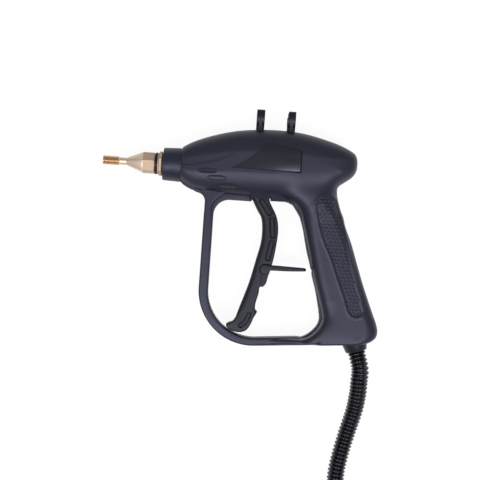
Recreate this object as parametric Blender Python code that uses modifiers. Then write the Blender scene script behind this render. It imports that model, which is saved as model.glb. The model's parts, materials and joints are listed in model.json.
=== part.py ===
# Handheld steam cleaner gun with its corrugated hose.
# Gun coordinates, in metres: u (X) runs from the collar's front face to the rear along the barrel axis,
# v (Y) up from the barrel axis to the roof, and w (Z) out of the parting plane towards the left side.
# The gun lies on its right side, so the world's Z is w plus the body's half width.

import math

import bmesh
import bpy
from mathutils import Matrix, Vector

# Clearances and cutting
GAP = 0.0003
PARTING_GAP = 0.0003
PIN_PLAY = 0.0003
OVERRUN = 0.030
MERGE_DISTANCE = 0.00001

# The three sizes that drive the casing
BODY_LENGTH = 0.172
BODY_ROOF = 0.0361
GRIP_DROP = 0.1479

# Places along the barrel axis, shares of the body's length
place_shares = {
    "grip_reach": 1.1599, "guard_front": 0.2276, "pivot": 0.5174, "front_clip": 0.4860, "rear_clip": 0.6453,
    "gland": 1.0512,
}
# Depths under the barrel axis, shares of the grip's drop
depth_shares = {"belly": 0.1677, "guard_bottom": 1.0541, "flange": 0.1920, "pivot": 0.1062, "gland": 1.0007}

# Casing: body and collar
BODY_BELLY = GRIP_DROP * depth_shares["belly"]
BODY_HALF_WIDTH = 0.021
COLLAR_LENGTH = 0.0158
COLLAR_RADIUS = 0.0140
COLLAR_REAR_RADIUS = 0.0149
COLLAR_CHAMFER = 0.0006
WALL = 0.0025

# Casing: grip, measured from the barrel axis
GRIP_REACH = BODY_LENGTH * place_shares["grip_reach"]
GRIP_HALF_WIDTH = 0.021
NOTCH_HEIGHT = 0.0034

# Casing: hand guard
GUARD_THICKNESS = 0.016
GUARD_FRONT = BODY_LENGTH * place_shares["guard_front"]
GUARD_BAR = 0.0083
GUARD_BOTTOM = GRIP_DROP * depth_shares["guard_bottom"]
GUARD_BASE_BAR = 0.0070
GUARD_BASE_RISE_DEG = 4.5
GUARD_ROUNDING = 0.0019
GUARD_FLANGE_DROP = GRIP_DROP * depth_shares["flange"]
GUARD_THROAT_RADIUS = 0.0140
GUARD_THROAT_DEG = 92.0
GUARD_NOSE_DEG = 84.0

# Trigger: its reach ends just over the guard's foot
PIVOT_U = BODY_LENGTH * place_shares["pivot"]
PIVOT_V = -GRIP_DROP * depth_shares["pivot"]
GUARD_CORNER_SHARE = 0.975
GUARD_CORNER_RADIUS = (PIVOT_U - GUARD_FRONT) * GUARD_CORNER_SHARE
TRIGGER_REACH_SHARE = 0.9692
TRIGGER_REACH = (GUARD_BOTTOM - GUARD_BASE_BAR + PIVOT_V) * TRIGGER_REACH_SHARE
TRIGGER_THICKNESS = 0.0150
TRIGGER_ROUNDING = 0.0014
TRIGGER_PIN_RADIUS = 0.0020
TRIGGER_PIN_LENGTH = 0.0320
PIVOT_BOSS_RADIUS = 0.0052
POCKET_DEPTH = 0.0010

# Trigger slot in the belly, from the pivot, shares of the trigger's reach
slot_shares = {"front": -0.0690, "rear": 0.1370}
SLOT_FRONT = PIVOT_U + TRIGGER_REACH * slot_shares["front"]
SLOT_REAR = PIVOT_U + TRIGGER_REACH * slot_shares["rear"]
SLOT_HALF_WIDTH = 0.0080
SLOT_LIP_THICKNESS = 0.0210

# Safety latch, its pin placed from the pivot in shares of the trigger's reach
latch_place_shares = (0.0566, -0.5585)
LATCH_U = PIVOT_U + TRIGGER_REACH * latch_place_shares[0]
LATCH_V = PIVOT_V + TRIGGER_REACH * latch_place_shares[1]
LATCH_DISC_RADIUS = 0.0046
LATCH_ARM_LENGTH = 0.0366
LATCH_FORK_REACH = 0.0174
LATCH_WEB = 0.0084
LATCH_THICKNESS = 0.0146
LATCH_PIN_RADIUS = 0.0012
LATCH_PIN_LENGTH = 0.0124
latch_seat_shares = (0.62, 0.75)

# Trigger spring, over the pivot
SPRING_RADIUS = 0.0026
SPRING_WIRE_RADIUS = 0.0004
SPRING_TURNS = 6
SPRING_TURN_POINTS = 8
SPRING_RISE = 0.0152
SPRING_V = PIVOT_V + SPRING_RISE
SPRING_SEAT_THICKNESS = 0.0034
SPRING_SEAT_HEIGHT = 0.0090
SPRING_LENGTH = 0.0137

# Microswitch, in front of the trigger's short arm
SWITCH_DEPTH = 0.0065
SWITCH_HEIGHT = 0.0128
SWITCH_WIDTH = 0.0058
SWITCH_RISE = 0.0095
PLUNGER_RADIUS = 0.0011
PLUNGER_RISE = 0.0045
PLUNGER_BORE_DEPTH = 0.0052
PLUNGER_LENGTH = 0.0066
PLUNGER_STANDOUT = 0.0044

# Nozzle and its holder
NOZZLE_LENGTH = 0.0462
NOZZLE_TIP_RADIUS = 0.0042
NOZZLE_NECK_RADIUS = 0.0033
NOZZLE_HEX_RADIUS = 0.00975
NOZZLE_BORE = 0.0015
NOZZLE_SOCKET_DEPTH = 0.0105
NOZZLE_CHAMFER = 0.0007
SPIGOT_RADIUS = 0.0050
HEX_TURN_DEG = 20.0
SEAL_THICKNESS = 0.0013
SEAL_RADIUS = 0.0096
HOLDER_RING_RADIUS = 0.0095
HOLDER_HEX_RADIUS = 0.0111
HOLDER_HEX_TURN_DEG = 9.0
HOLDER_STEM_RADIUS = 0.0070
HOLDER_FLANGE_RADIUS = 0.0090
HOLDER_FLANGE_START = 0.0035
HOLDER_BORE = 0.0020
HOLDER_HEAD = 0.0057
HOLDER_SHELF = 0.0014
BARB_RADIUS = 0.0034
BARB_START = 0.0135
BARB_LENGTH = 0.0130
BARB_TEETH = 3
nozzle_shares = {"thread_end": 0.290, "neck_end": 0.450, "cone_end": 0.775, "rim_start": 0.985}
barb_tooth_shares = (0.2, 0.3)

# Steam tube, clamp and wires
TUBE_RADIUS = 0.0042
CLAMP_THICKNESS = 0.0012
CLAMP_WIDTH = 0.0050
WIRE_RADIUS = 0.0008
WIRE_SPREAD = 0.0054
CORD_END_GAP = 0.0018

# Tube clips, seated on the roof
CLIP_WIDTH = 0.0071
CLIP_INNER_RADIUS = 0.0075
CLIP_WALL = 0.0021
CLIP_RISE = 0.0103
CLIP_TIP_RISE = 0.0180
CLIP_CENTRE_V = BODY_ROOF + CLIP_RISE
CLIP_TIP_V = BODY_ROOF + CLIP_TIP_RISE
CLIP_WEB = 0.0028
CLIP_TONGUE_HALF = 0.0050
CLIP_FOOT_SINK = 0.0063
CLIP_FOOT_V = BODY_ROOF - CLIP_FOOT_SINK
CLIP_FOOT_HEIGHT = 0.0016
FRONT_CLIP_U = BODY_LENGTH * place_shares["front_clip"]
REAR_CLIP_U = BODY_LENGTH * place_shares["rear_clip"]
CLIP_OUTER_END_DEG = 34.0
CLIP_INNER_END_DEG = 36.0
clip_web_share = 0.94
clip_lip_shares = (-0.8, 0.2)

# Case screws
SCREW_RADIUS = 0.0015
SCREW_HEAD_RADIUS = 0.0026
SCREW_HEAD_HEIGHT = 0.0018
SCREW_DRIVE = 0.00075
SCREW_BOSS_RADIUS = 0.0042
SCREW_REACH = 0.0060
GUARD_SCREW_DEG = 227.0

# Hose gland, seated under the grip's foot
GLAND_U = BODY_LENGTH * place_shares["gland"]
GLAND_V = -GRIP_DROP * depth_shares["gland"]
GLAND_TILT_DEG = 16.0
GLAND_RADIUS = 0.0109
GLAND_END_RADIUS = 0.0084
GLAND_DROP = 0.0071
GLAND_NECK_RADIUS = 0.0080
GLAND_FLANGE_RADIUS = 0.0105
GLAND_FLANGE_TOP = 0.0087
GLAND_FLANGE_THICKNESS = 0.0028
GLAND_BORE = 0.0064
GLAND_CHAMFER = 0.0013
gland_lip_shares = (0.93, 0.72)

# Hose: the run drops from the gland to the coil's middle, which stands aside by one radius
HOSE_RADIUS = 0.0079
HOSE_GROOVE_DEPTH = 0.0011
HOSE_RIB_PITCH = 0.00344
HOSE_BORE = 0.0056
HOSE_DROP = 0.2540
COIL_RADIUS = 0.1040
COIL_PITCH = 0.0166
COIL_LAYER = 0.0164
COIL_LEVEL = -0.0128
COIL_ENTRY_ASIDE = 0.0078
COIL_ENTRY_U = GLAND_U - COIL_ENTRY_ASIDE
COIL_V = GLAND_V - HOSE_DROP

# Connector, beside the coil
SLEEVE_LENGTH = 0.0194
SLEEVE_RADIUS = 0.0100
PLUG_LENGTH = 0.0500
PLUG_HALF_WIDTH = 0.0180
PLUG_HALF_HEIGHT = 0.0130
NIPPLE_RADIUS = 0.0039
NIPPLE_BORE = 0.0020
NIPPLE_STANDOUT = 0.0140
NIPPLE_SOCKET = 0.0120
NIPPLE_SEAL_WIRE = 0.0009
NIPPLE_SEAL_PLACE = 0.0098
CONTACT_RADIUS = 0.0011
CONTACT_STANDOUT = 0.0080
CONTACT_SPREAD = 0.0110
CONTACT_SINK = 0.0081
BUTTON_LENGTH = 0.0130
BUTTON_WIDTH = 0.0095
BUTTON_HEIGHT = 0.0050
BUTTON_STANDOUT = 0.0024
BUTTON_WELL_DEPTH = 0.0080
BUTTON_PLACE = 0.0225
BUTTON_SPRING_TURNS = 3
BUTTON_SPRING_POINTS = 10
CONNECTOR_BEHIND = 0.1010
CONNECTOR_UNDER = 0.1015
CONNECTOR_LEVEL = -0.0077
sleeve_shares = ((0.92, 0.1), (1.0, 0.3))
plug_station_shares = ((0.0, 0.80), (0.14, 0.96), (0.30, 1.0), (0.95, 1.0), (1.0, 0.95))

# Faces that meet under this angle are shaded as one
SMOOTH_DEG = 32.0

# Counts
GRIP_CORE_STATIONS = 15
BODY_SIDES = 24
CORE_SIDES = 16
ROUND_STEPS = 24
HOLDER_STEPS = 18
SMALL_STEPS = 10
SCREW_STEPS = 8
ARC_STEPS = 8
SEAL_SIDES = 6
CURVE_STEPS = 2
WIRE_JOIN_POINT = 8
HOSE_CURVE_STEPS = 8
LOOP_POINTS = 24
ENTRY_TURNS = 1.875
TOTAL_TURNS = 4.25
CLIMB_TURNS = 0.5

# Body stations: share of the length, then shares of the roof, the belly and the half width
body_station_shares = [
    (0.095, 0.423, 0.622, 0.724), (0.116, 0.491, 0.740, 0.771), (0.145, 0.568, 0.842, 0.819),
    (0.186, 0.657, 0.916, 0.876), (0.244, 0.756, 0.956, 0.943), (0.320, 0.862, 0.980, 0.990),
    (0.407, 0.945, 0.992, 1.000), (0.523, 0.994, 1.000, 1.000), (0.610, 1.000, 1.000, 1.000),
    (0.698, 0.972, 0.976, 1.000), (0.767, 0.915, 0.903, 0.990), (0.831, 0.840, 0.758, 0.962),
    (0.884, 0.769, 0.556, 0.905), (0.930, 0.686, 0.306, 0.810), (0.965, 0.606, 0.129, 0.681),
    (0.985, 0.537, -0.012, 0.533), (0.9965, 0.435, -0.161, 0.333), (1.000, 0.330, -0.302, 0.143),
]

# Grip stations: front point and rear point as shares of the reach and the drop, then of the half width
grip_station_shares = [
    (0.521, 0.041, 0.762, 0.027, 0.786), (0.506, 0.122, 0.780, 0.085, 0.881),
    (0.541, 0.170, 0.783, 0.125, 0.905), (0.574, 0.187, 0.792, 0.169, 0.895),
    (0.599, 0.211, 0.803, 0.213, 0.876), (0.619, 0.250, 0.816, 0.252, 0.857),
    (0.632, 0.308, 0.828, 0.308, 0.833), (0.654, 0.412, 0.859, 0.406, 0.810),
    (0.676, 0.521, 0.889, 0.521, 0.810), (0.698, 0.636, 0.920, 0.636, 0.819),
    (0.720, 0.734, 0.949, 0.734, 0.848), (0.735, 0.815, 0.974, 0.815, 0.895),
    (0.741, 0.869, 0.992, 0.872, 0.952), (0.732, 0.916, 1.000, 0.916, 1.000),
    (0.706, 0.955, 0.996, 0.951, 1.000), (0.674, 0.980, 0.981, 0.975, 0.981),
    (0.652, 1.007, 0.964, 0.988, 0.933), (0.657, 1.030, 0.951, 0.997, 0.857),
]

# Trigger outline below the hub, shares of the reach: back from the pivot, down from the pivot
trigger_front_shares = [
    (-0.057, 0.033), (-0.062, 0.078), (-0.021, 0.158), (0.009, 0.208), (0.021, 0.289), (0.017, 0.382),
    (-0.005, 0.486), (-0.040, 0.640), (-0.069, 0.737), (-0.101, 0.835), (-0.119, 0.901),
]
trigger_toe_shares = [
    (-0.139, 0.929), (-0.163, 0.938), (-0.182, 0.953), (-0.172, 0.974), (-0.132, 0.995), (-0.084, 1.000),
    (-0.042, 0.983), (-0.015, 0.943), (0.005, 0.892), (0.024, 0.853), (0.010, 0.837), (0.011, 0.792),
    (0.026, 0.731), (0.031, 0.683), (0.053, 0.679), (0.073, 0.653), (0.083, 0.607),
]
trigger_rear_shares = [
    (0.095, 0.567), (0.104, 0.527), (0.117, 0.454), (0.127, 0.366), (0.131, 0.295), (0.123, 0.227),
    (0.104, 0.173), (0.076, 0.124), (0.057, 0.084), (0.053, 0.033),
]
trigger_arm_shares = [
    (0.053, -0.005), (0.027, -0.083), (0.023, -0.137), (0.008, -0.152), (-0.020, -0.152), (-0.039, -0.139),
    (-0.039, -0.029), (-0.054, -0.002),
]

# Trigger pockets: both ends of the centre line and the width, shares of the trigger's reach
trigger_pocket_shares = [
    (0.005, 0.094, 0.064, 0.173, 0.033), (0.082, 0.211, 0.097, 0.328, 0.031),
    (0.094, 0.366, 0.075, 0.483, 0.031), (-0.033, 0.874, -0.081, 0.959, 0.028),
]

# Latch arm outline, shares of the arm's length from the latch pin
latch_arm_shares = [
    (0.172, 0.107), (0.574, 0.100), (0.975, 0.090), (1.000, 0.056), (0.973, 0.020), (0.568, -0.010),
    (0.148, -0.019),
]

# Screw places: shares of the body's length and the grip's drop, and of the half width to the head's face
screw_place_shares = [
    (0.180, 0.101, 0.50), (0.198, -0.098, 0.50), (0.360, 0.162, 0.50), (0.904, 0.084, 0.45),
    (0.817, -0.392, 0.52), (1.073, -0.764, 0.52), (0.890, -0.936, 0.60),
]
guard_screw_share = 0.30

# Lip on both sides of the trigger slot's rear, under the grip's root: shares of the body's length and belly
slot_lip_shares = [
    (0.5663, 0.720), (0.5663, 1.076), (0.6400, 1.074), (0.6580, 1.096), (0.6740, 1.145), (0.6900, 1.190),
    (0.7000, 0.720),
]

# Notch in the grip's front edge: shares of the reach and the drop
notch_place_shares = (0.6965, 0.582)

# Steam tube route through the body and the grip, shares of the body's length and the grip's drop
tube_route_shares = [
    (0.174, 0.000), (0.262, 0.024), (0.349, 0.064), (0.436, 0.085), (0.535, 0.085), (0.640, 0.061),
    (0.738, -0.014), (0.814, -0.122), (0.866, -0.257), (0.913, -0.406), (0.965, -0.622),
]

# Wire route round the spring's seat: ahead of the pivot in shares of the trigger's reach, up in shares of the
# grip's drop, aside in shares of the wires' spread
wire_route_shares = [
    (0.139, -0.064, 0.30), (0.171, -0.068, 0.74), (0.206, -0.041, 1.30), (0.206, 0.027, 1.30),
    (0.163, 0.068, 1.20),
]

# Dimples on the body's side: centre in shares of the body's length and belly
dimple_shares = [(0.230, -0.130), (0.281, -0.370), (0.338, -0.612)]
DIMPLE_LENGTH = 0.0160
DIMPLE_WIDTH = 0.0040

# Badge recess, left side only and bare: shares of the body's length and roof
badge_shares = [
    (0.362, 0.010), (0.434, 0.255), (0.484, 0.412), (0.535, 0.668), (0.706, 0.580), (0.703, 0.028),
]
BADGE_DEPTH = 0.0009

# Swoosh groove on the nose: shares of the body's length and roof
groove_shares = [(0.097, 0.000), (0.180, 0.050), (0.252, 0.126), (0.317, 0.234), (0.346, 0.300)]
GROOVE_RADIUS = 0.0006

# Free hose from the gland to the coil: offsets from the gland in shares of the hose's drop
hose_route_shares = [
    (0.0256, -0.1339, -0.0071), (0.0252, -0.1772, -0.0165), (0.0181, -0.2421, -0.0327),
    (-0.0024, -0.3287, -0.0461), (-0.0213, -0.4173, -0.0500), (-0.0291, -0.4843, -0.0504),
    (-0.0311, -0.5984, -0.0504), (-0.0307, -0.7559, -0.0504),
]

# Free hose from the coil to the connector: offsets from the coil's middle in shares of the coil's radius
tail_route_shares = [(-0.298, -0.999, 0.034), (-0.471, -0.995, 0.012), (-0.625, -0.986, -0.037)]

# Superellipse exponents and the small swell that flattens the widest band
BODY_EXPONENT = 2.35
GRIP_EXPONENT = 2.7
PLUG_EXPONENT = 4.0
SIDE_SWELL = 1.03


# Scene helpers

def clear_scene():
    for item in list(bpy.data.objects):
        bpy.data.objects.remove(item, do_unlink=True)
    for group in list(bpy.data.collections):
        bpy.data.collections.remove(group)


def make_collection(name):
    group = bpy.data.collections.new(name)
    bpy.context.scene.collection.children.link(group)
    return group


def make_material(name, color, roughness, metallic):
    material = bpy.data.materials.new(name)
    material.use_nodes = True
    shader = material.node_tree.nodes["Principled BSDF"]
    shader.inputs["Base Color"].default_value = (*color, 1.0)
    shader.inputs["Roughness"].default_value = roughness
    shader.inputs["Metallic"].default_value = metallic
    material.diffuse_color = (*color, 1.0)
    return material


def evaluated_mesh(item):
    bpy.context.view_layer.update()
    graph = bpy.context.evaluated_depsgraph_get()
    return bpy.data.meshes.new_from_object(item.evaluated_get(graph))


def add_mesh_object(name, mesh, group=None):
    item = bpy.data.objects.new(name, mesh)
    (group or cutters).objects.link(item)
    if group is None:
        item.hide_render = True
        item.display_type = "WIRE"
    return item


def object_from_bmesh(name, shape, group=None):
    bmesh.ops.remove_doubles(shape, verts=shape.verts, dist=MERGE_DISTANCE)
    bmesh.ops.recalc_face_normals(shape, faces=shape.faces)
    mesh = bpy.data.meshes.new(name)
    shape.to_mesh(mesh)
    shape.free()
    return add_mesh_object(name, mesh, group)


def bake(item):
    mesh = evaluated_mesh(item)
    item.modifiers.clear()
    item.data = mesh
    return item


def combine(item, other, operation):
    step = item.modifiers.new(operation.lower(), "BOOLEAN")
    step.operation = operation
    step.solver = "EXACT"
    step.object = other
    return bake(item)


def cut(item, *tools):
    for tool in tools:
        combine(item, tool, "DIFFERENCE")
    return item


def join(item, *others):
    for other in others:
        combine(item, other, "UNION")
    return item


def copy_of(item, name, group=None):
    return add_mesh_object(name, item.data.copy(), group)


def finish(item, name, material, smooth_deg=SMOOTH_DEG):
    item.name = name
    item.data.name = name
    item.data.materials.clear()
    item.data.materials.append(material)
    item.data.shade_smooth()
    item.data.set_sharp_from_angle(angle=math.radians(smooth_deg))
    for group in list(item.users_collection):
        group.objects.unlink(item)
    parts.objects.link(item)
    item.hide_render = False
    item.display_type = "TEXTURED"
    item.parent = gun
    return item


def set_origin(item, point):
    item.data.transform(Matrix.Translation(-Vector(point)))
    item.location = point
    return item


# Shape helpers

def loft(name, rings, group=None):
    shape = bmesh.new()
    rows = [[shape.verts.new(point) for point in ring] for ring in rings]
    for row, following in zip(rows, rows[1:]):
        for index in range(len(row)):
            after = (index + 1) % len(row)
            shape.faces.new((row[index], row[after], following[after], following[index]))
    shape.faces.new(rows[0])
    shape.faces.new(list(reversed(rows[-1])))
    return object_from_bmesh(name, shape, group)


def box(name, low, high, group=None):
    shape = bmesh.new()
    bmesh.ops.create_cube(shape, size=1.0)
    for vertex in shape.verts:
        for axis in range(3):
            middle = (low[axis] + high[axis]) / 2
            vertex.co[axis] = middle + vertex.co[axis] * (high[axis] - low[axis])
    return object_from_bmesh(name, shape, group)


def rod(name, start, end, radius, steps=ROUND_STEPS, end_radius=None, group=None):
    start = Vector(start)
    end = Vector(end)
    shape = bmesh.new()
    far = radius if end_radius is None else end_radius
    bmesh.ops.create_cone(shape, cap_ends=True, segments=steps, radius1=radius, radius2=far,
                          depth=(end - start).length)
    turn = (end - start).to_track_quat("Z", "Y").to_matrix()
    for vertex in shape.verts:
        vertex.co = turn @ vertex.co + (start + end) / 2
    return object_from_bmesh(name, shape, group)


def turned(name, start, direction, profile, steps=ROUND_STEPS, group=None):
    # The profile is (radius, distance) pairs and its outer side runs away from the start
    mesh = bpy.data.meshes.new(name)
    count = len(profile)
    closed = profile[0][0] > MERGE_DISTANCE
    edges = [(index, index + 1) for index in range(count - 1)]
    if closed:
        edges.append((count - 1, 0))
    mesh.from_pydata([(radius, 0.0, -distance) for radius, distance in profile], edges, [])
    item = add_mesh_object(name, mesh, group)
    screw = item.modifiers.new("turn", "SCREW")
    screw.axis = "Z"
    screw.steps = steps
    screw.render_steps = steps
    screw.use_merge_vertices = True
    screw.merge_threshold = MERGE_DISTANCE
    bake(item)
    turn = (-Vector(direction)).to_track_quat("Z", "Y").to_matrix().to_4x4()
    turn.translation = Vector(start)
    item.data.transform(turn)
    return item


def plate(name, outline, thickness, rounding=0.0, segments=2, group=None):
    # A flat outline in the parting plane, with both rims rounded
    shape = bmesh.new()
    base = shape.faces.new([shape.verts.new((u, v, -thickness / 2)) for u, v in outline])
    raised = bmesh.ops.extrude_face_region(shape, geom=[base])
    for vertex in [entry for entry in raised["geom"] if isinstance(entry, bmesh.types.BMVert)]:
        vertex.co.z = thickness / 2
    bmesh.ops.recalc_face_normals(shape, faces=shape.faces)
    if rounding > 0.0:
        rims = [edge for edge in shape.edges if abs(edge.verts[0].co.z - edge.verts[1].co.z) < thickness / 2]
        bmesh.ops.bevel(shape, geom=rims, offset=rounding, segments=segments, profile=0.5, affect="EDGES",
                        clamp_overlap=True)
    return object_from_bmesh(name, shape, group)


def slab(name, outline, low, high, group=None):
    # The outline of (u, v) points between two heights over the parting plane
    rings = [[(u, v, low) for u, v in outline], [(u, v, high) for u, v in outline]]
    return loft(name, rings, group)


def capsule(start, end, width, steps=ARC_STEPS):
    # A round-ended slot outline
    start = Vector(start)
    end = Vector(end)
    heading = math.atan2(end.y - start.y, end.x - start.x)
    points = []
    for centre, turn in ((end, -math.pi / 2), (start, math.pi / 2)):
        for index in range(steps + 1):
            angle = heading + turn + math.pi * index / steps
            points.append((centre.x + width / 2 * math.cos(angle), centre.y + width / 2 * math.sin(angle)))
    return points


def arc(centre, radius, start_deg, end_deg, steps=ARC_STEPS):
    points = []
    for index in range(steps + 1):
        angle = math.radians(start_deg + (end_deg - start_deg) * index / steps)
        points.append((centre[0] + radius * math.cos(angle), centre[1] + radius * math.sin(angle)))
    return points


def smooth_through(points, steps):
    # Catmull-Rom curve through the points
    points = [Vector(point) for point in points]
    padded = [points[0] * 2 - points[1]] + points + [points[-1] * 2 - points[-2]]
    result = []
    for before, here, after, beyond in zip(padded, padded[1:], padded[2:], padded[3:]):
        for index in range(steps):
            t = index / steps
            result.append(0.5 * (2 * here + (after - before) * t
                                 + (2 * before - 5 * here + 4 * after - beyond) * t ** 2
                                 + (3 * here - before - 3 * after + beyond) * t ** 3))
    result.append(points[-1])
    return result


def spaced(points, step):
    # The same line with points at an even distance, ends kept
    lengths = [0.0]
    for here, after in zip(points, points[1:]):
        lengths.append(lengths[-1] + (after - here).length)
    count = max(2, round(lengths[-1] / step))
    result = []
    place = 0
    for index in range(count + 1):
        target = lengths[-1] * index / count
        while place < len(lengths) - 2 and lengths[place + 1] < target:
            place += 1
        share = (target - lengths[place]) / max(lengths[place + 1] - lengths[place], MERGE_DISTANCE)
        result.append(points[place].lerp(points[place + 1], min(share, 1.0)))
    return result


def line_length(points):
    return sum((after - here).length for here, after in zip(points, points[1:]))


def tube(name, points, radius, resolution=2, radii=None, group=None):
    curve = bpy.data.curves.new(name, "CURVE")
    curve.dimensions = "3D"
    curve.bevel_depth = radius
    curve.bevel_resolution = resolution
    curve.use_fill_caps = True
    line = curve.splines.new("POLY")
    line.points.add(len(points) - 1)
    for index, point in enumerate(points):
        line.points[index].co = (*point, 1.0)
        line.points[index].radius = 1.0 if radii is None else radii[index]
    item = bpy.data.objects.new(name, curve)
    cutters.objects.link(item)
    shape = bmesh.new()
    shape.from_mesh(evaluated_mesh(item))
    bpy.data.objects.remove(item)
    return object_from_bmesh(name, shape, group)


def bent_sign(value, power):
    return math.copysign(abs(value) ** power, value)


def oval_ring(centre, along, across, exponent, sides):
    # A superellipse ring, its widest band flattened, with no point on the parting plane
    points = []
    for index in range(sides):
        angle = math.tau * (index + 0.5) / sides
        side = bent_sign(math.sin(angle), 2 / exponent) * SIDE_SWELL
        side = max(-1.0, min(1.0, side))
        points.append(centre + along * bent_sign(math.cos(angle), 2 / exponent) + across * side)
    return points


# Casing

def body_ring(station, inset, sides):
    length_share, roof_share, belly_share, width_share = station
    roof = roof_share * BODY_ROOF - inset
    belly = -belly_share * BODY_BELLY + inset
    centre = Vector((length_share * BODY_LENGTH, (roof + belly) / 2, 0.0))
    along = Vector((0.0, (roof - belly) / 2, 0.0))
    across = Vector((0.0, 0.0, width_share * BODY_HALF_WIDTH - inset))
    return oval_ring(centre, along, across, BODY_EXPONENT, sides)


def round_ring(u, radius, sides):
    along = Vector((0.0, radius, 0.0))
    across = Vector((0.0, 0.0, radius / SIDE_SWELL))
    return oval_ring(Vector((u, 0.0, 0.0)), along, across, 2.0, sides)


def body_surface(u, v):
    # The half width of the body at a place on its side
    stations = body_station_shares
    share = u / BODY_LENGTH
    for here, after in zip(stations, stations[1:]):
        if here[0] <= share <= after[0]:
            mix = (share - here[0]) / (after[0] - here[0])
            roof, belly, width = (here[k] + (after[k] - here[k]) * mix for k in (1, 2, 3))
            top = roof * BODY_ROOF
            bottom = -belly * BODY_BELLY
            rise = abs(v - (top + bottom) / 2) / ((top - bottom) / 2)
            spread = (1 - min(rise, 1.0) ** BODY_EXPONENT) ** (1 / BODY_EXPONENT)
            return width * BODY_HALF_WIDTH * min(1.0, spread * SIDE_SWELL)
    return COLLAR_REAR_RADIUS


def grip_ring(station, inset, sides):
    front_u, front_v, rear_u, rear_v, width_share = station
    front = Vector((front_u * GRIP_REACH, -front_v * GRIP_DROP, 0.0))
    rear = Vector((rear_u * GRIP_REACH, -rear_v * GRIP_DROP, 0.0))
    along = (rear - front) / 2
    along -= along.normalized() * inset
    across = Vector((0.0, 0.0, width_share * GRIP_HALF_WIDTH - inset))
    return oval_ring((front + rear) / 2, along, across, GRIP_EXPONENT, sides)


def guard_centre():
    return (GUARD_FRONT + GUARD_CORNER_RADIUS, -GUARD_BOTTOM + GUARD_CORNER_RADIUS)


def guard_outline():
    # The band runs down the front bar, round the corner and along the base, and back along its inner side
    rise = math.tan(math.radians(GUARD_BASE_RISE_DEG))
    centre = guard_centre()
    inner = GUARD_CORNER_RADIUS - GUARD_BAR
    base_inner = GUARD_CORNER_RADIUS - GUARD_BASE_BAR
    end_u = GRIP_REACH - GLAND_DROP - GLAND_RADIUS * 2
    end_v = -GUARD_BOTTOM + (end_u - centre[0]) * rise
    throat = GUARD_THROAT_RADIUS
    bar_u = GUARD_FRONT + GUARD_BAR
    inside_v = -BODY_BELLY + WALL * 3
    nose_u = GUARD_FRONT - GUARD_BAR
    points = [(nose_u, inside_v), (nose_u, -BODY_BELLY + WALL)]
    points += arc((nose_u, -BODY_BELLY - GUARD_BAR + WALL / 2), GUARD_BAR, GUARD_NOSE_DEG, 0.0,
                  ARC_STEPS // 2)
    points += arc(centre, GUARD_CORNER_RADIUS, 180.0, 270.0 + GUARD_BASE_RISE_DEG)
    points += [(end_u, end_v), (end_u, end_v + GUARD_BASE_BAR)]
    back = arc(centre, inner, 180.0, 270.0 + GUARD_BASE_RISE_DEG)
    blend = len(back) - 1
    for index in range(blend, -1, -1):
        reach = inner + (base_inner - inner) * index / blend
        angle = math.radians(180.0 + (90.0 + GUARD_BASE_RISE_DEG) * index / blend)
        points.append((centre[0] + reach * math.cos(angle), centre[1] + reach * math.sin(angle)))
    points += arc((bar_u + throat, -GUARD_FLANGE_DROP - throat), throat, 180.0, GUARD_THROAT_DEG,
                  ARC_STEPS // 2)
    points += [(SLOT_FRONT, -GUARD_FLANGE_DROP), (SLOT_FRONT, inside_v)]
    return points


def gland_axis():
    tilt = math.radians(GLAND_TILT_DEG)
    return Vector((math.sin(tilt), -math.cos(tilt), 0.0))


def gland_point(distance):
    return Vector((GLAND_U, GLAND_V, 0.0)) + gland_axis() * distance


def screw_places():
    places = [(u * BODY_LENGTH, v * GRIP_DROP, -w * BODY_HALF_WIDTH) for u, v, w in screw_place_shares]
    reach = GUARD_CORNER_RADIUS - GUARD_BAR / 2
    centre = guard_centre()
    angle = math.radians(GUARD_SCREW_DEG)
    places.append((centre[0] + reach * math.cos(angle), centre[1] + reach * math.sin(angle),
                   -guard_screw_share * BODY_HALF_WIDTH))
    return places


def switch_face_u():
    return PIVOT_U - trigger_face_offset() - GAP - PLUNGER_STANDOUT


def switch_top_v():
    return PIVOT_V + SWITCH_RISE


def plunger_v():
    return PIVOT_V + PLUNGER_RISE


def casing_core():
    # The hollow inside, with the screw pillars, the pivot bosses and the switch's seats left standing
    core_stations = body_station_shares[2:-3]
    core = loft("body_core", [body_ring(station, WALL, CORE_SIDES) for station in core_stations])
    grip_stations = grip_station_shares[1:GRIP_CORE_STATIONS]
    join(core, loft("grip_core", [grip_ring(station, WALL, CORE_SIDES) for station in grip_stations]))
    far = BODY_HALF_WIDTH + OVERRUN
    for number, (u, v, _) in enumerate(screw_places(), 1):
        cut(core, rod("pillar_%d" % number, (u, v, -far), (u, v, far), SCREW_BOSS_RADIUS, SMALL_STEPS))
    boss_start = TRIGGER_THICKNESS / 2 + GAP
    seat_start = SWITCH_WIDTH / 2 + GAP
    for side in (-1, 1):
        cut(core, rod("pivot_boss", (PIVOT_U, PIVOT_V, side * boss_start), (PIVOT_U, PIVOT_V, side * far),
                      PIVOT_BOSS_RADIUS, ROUND_STEPS // 2))
        inner, outer = sorted((side * seat_start, side * far))
        low_v = switch_top_v() - SWITCH_HEIGHT + WALL / 2
        cut(core, box("switch_seat", (switch_face_u() - SWITCH_DEPTH + WALL / 2, low_v, inner),
                      (switch_face_u() - WALL / 2, switch_top_v() - WALL, outer)))
    seat_u = PIVOT_U - trigger_face_offset() - GAP * 2 - SPRING_LENGTH
    cut(core, box("spring_seat", (seat_u - SPRING_SEAT_THICKNESS, SPRING_V - SPRING_SEAT_HEIGHT / 2, -far),
                  (seat_u, SPRING_V + SPRING_SEAT_HEIGHT / 2, far)))
    return core


def trigger_face_offset():
    return -trigger_arm_shares[6][0] * TRIGGER_REACH


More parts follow.
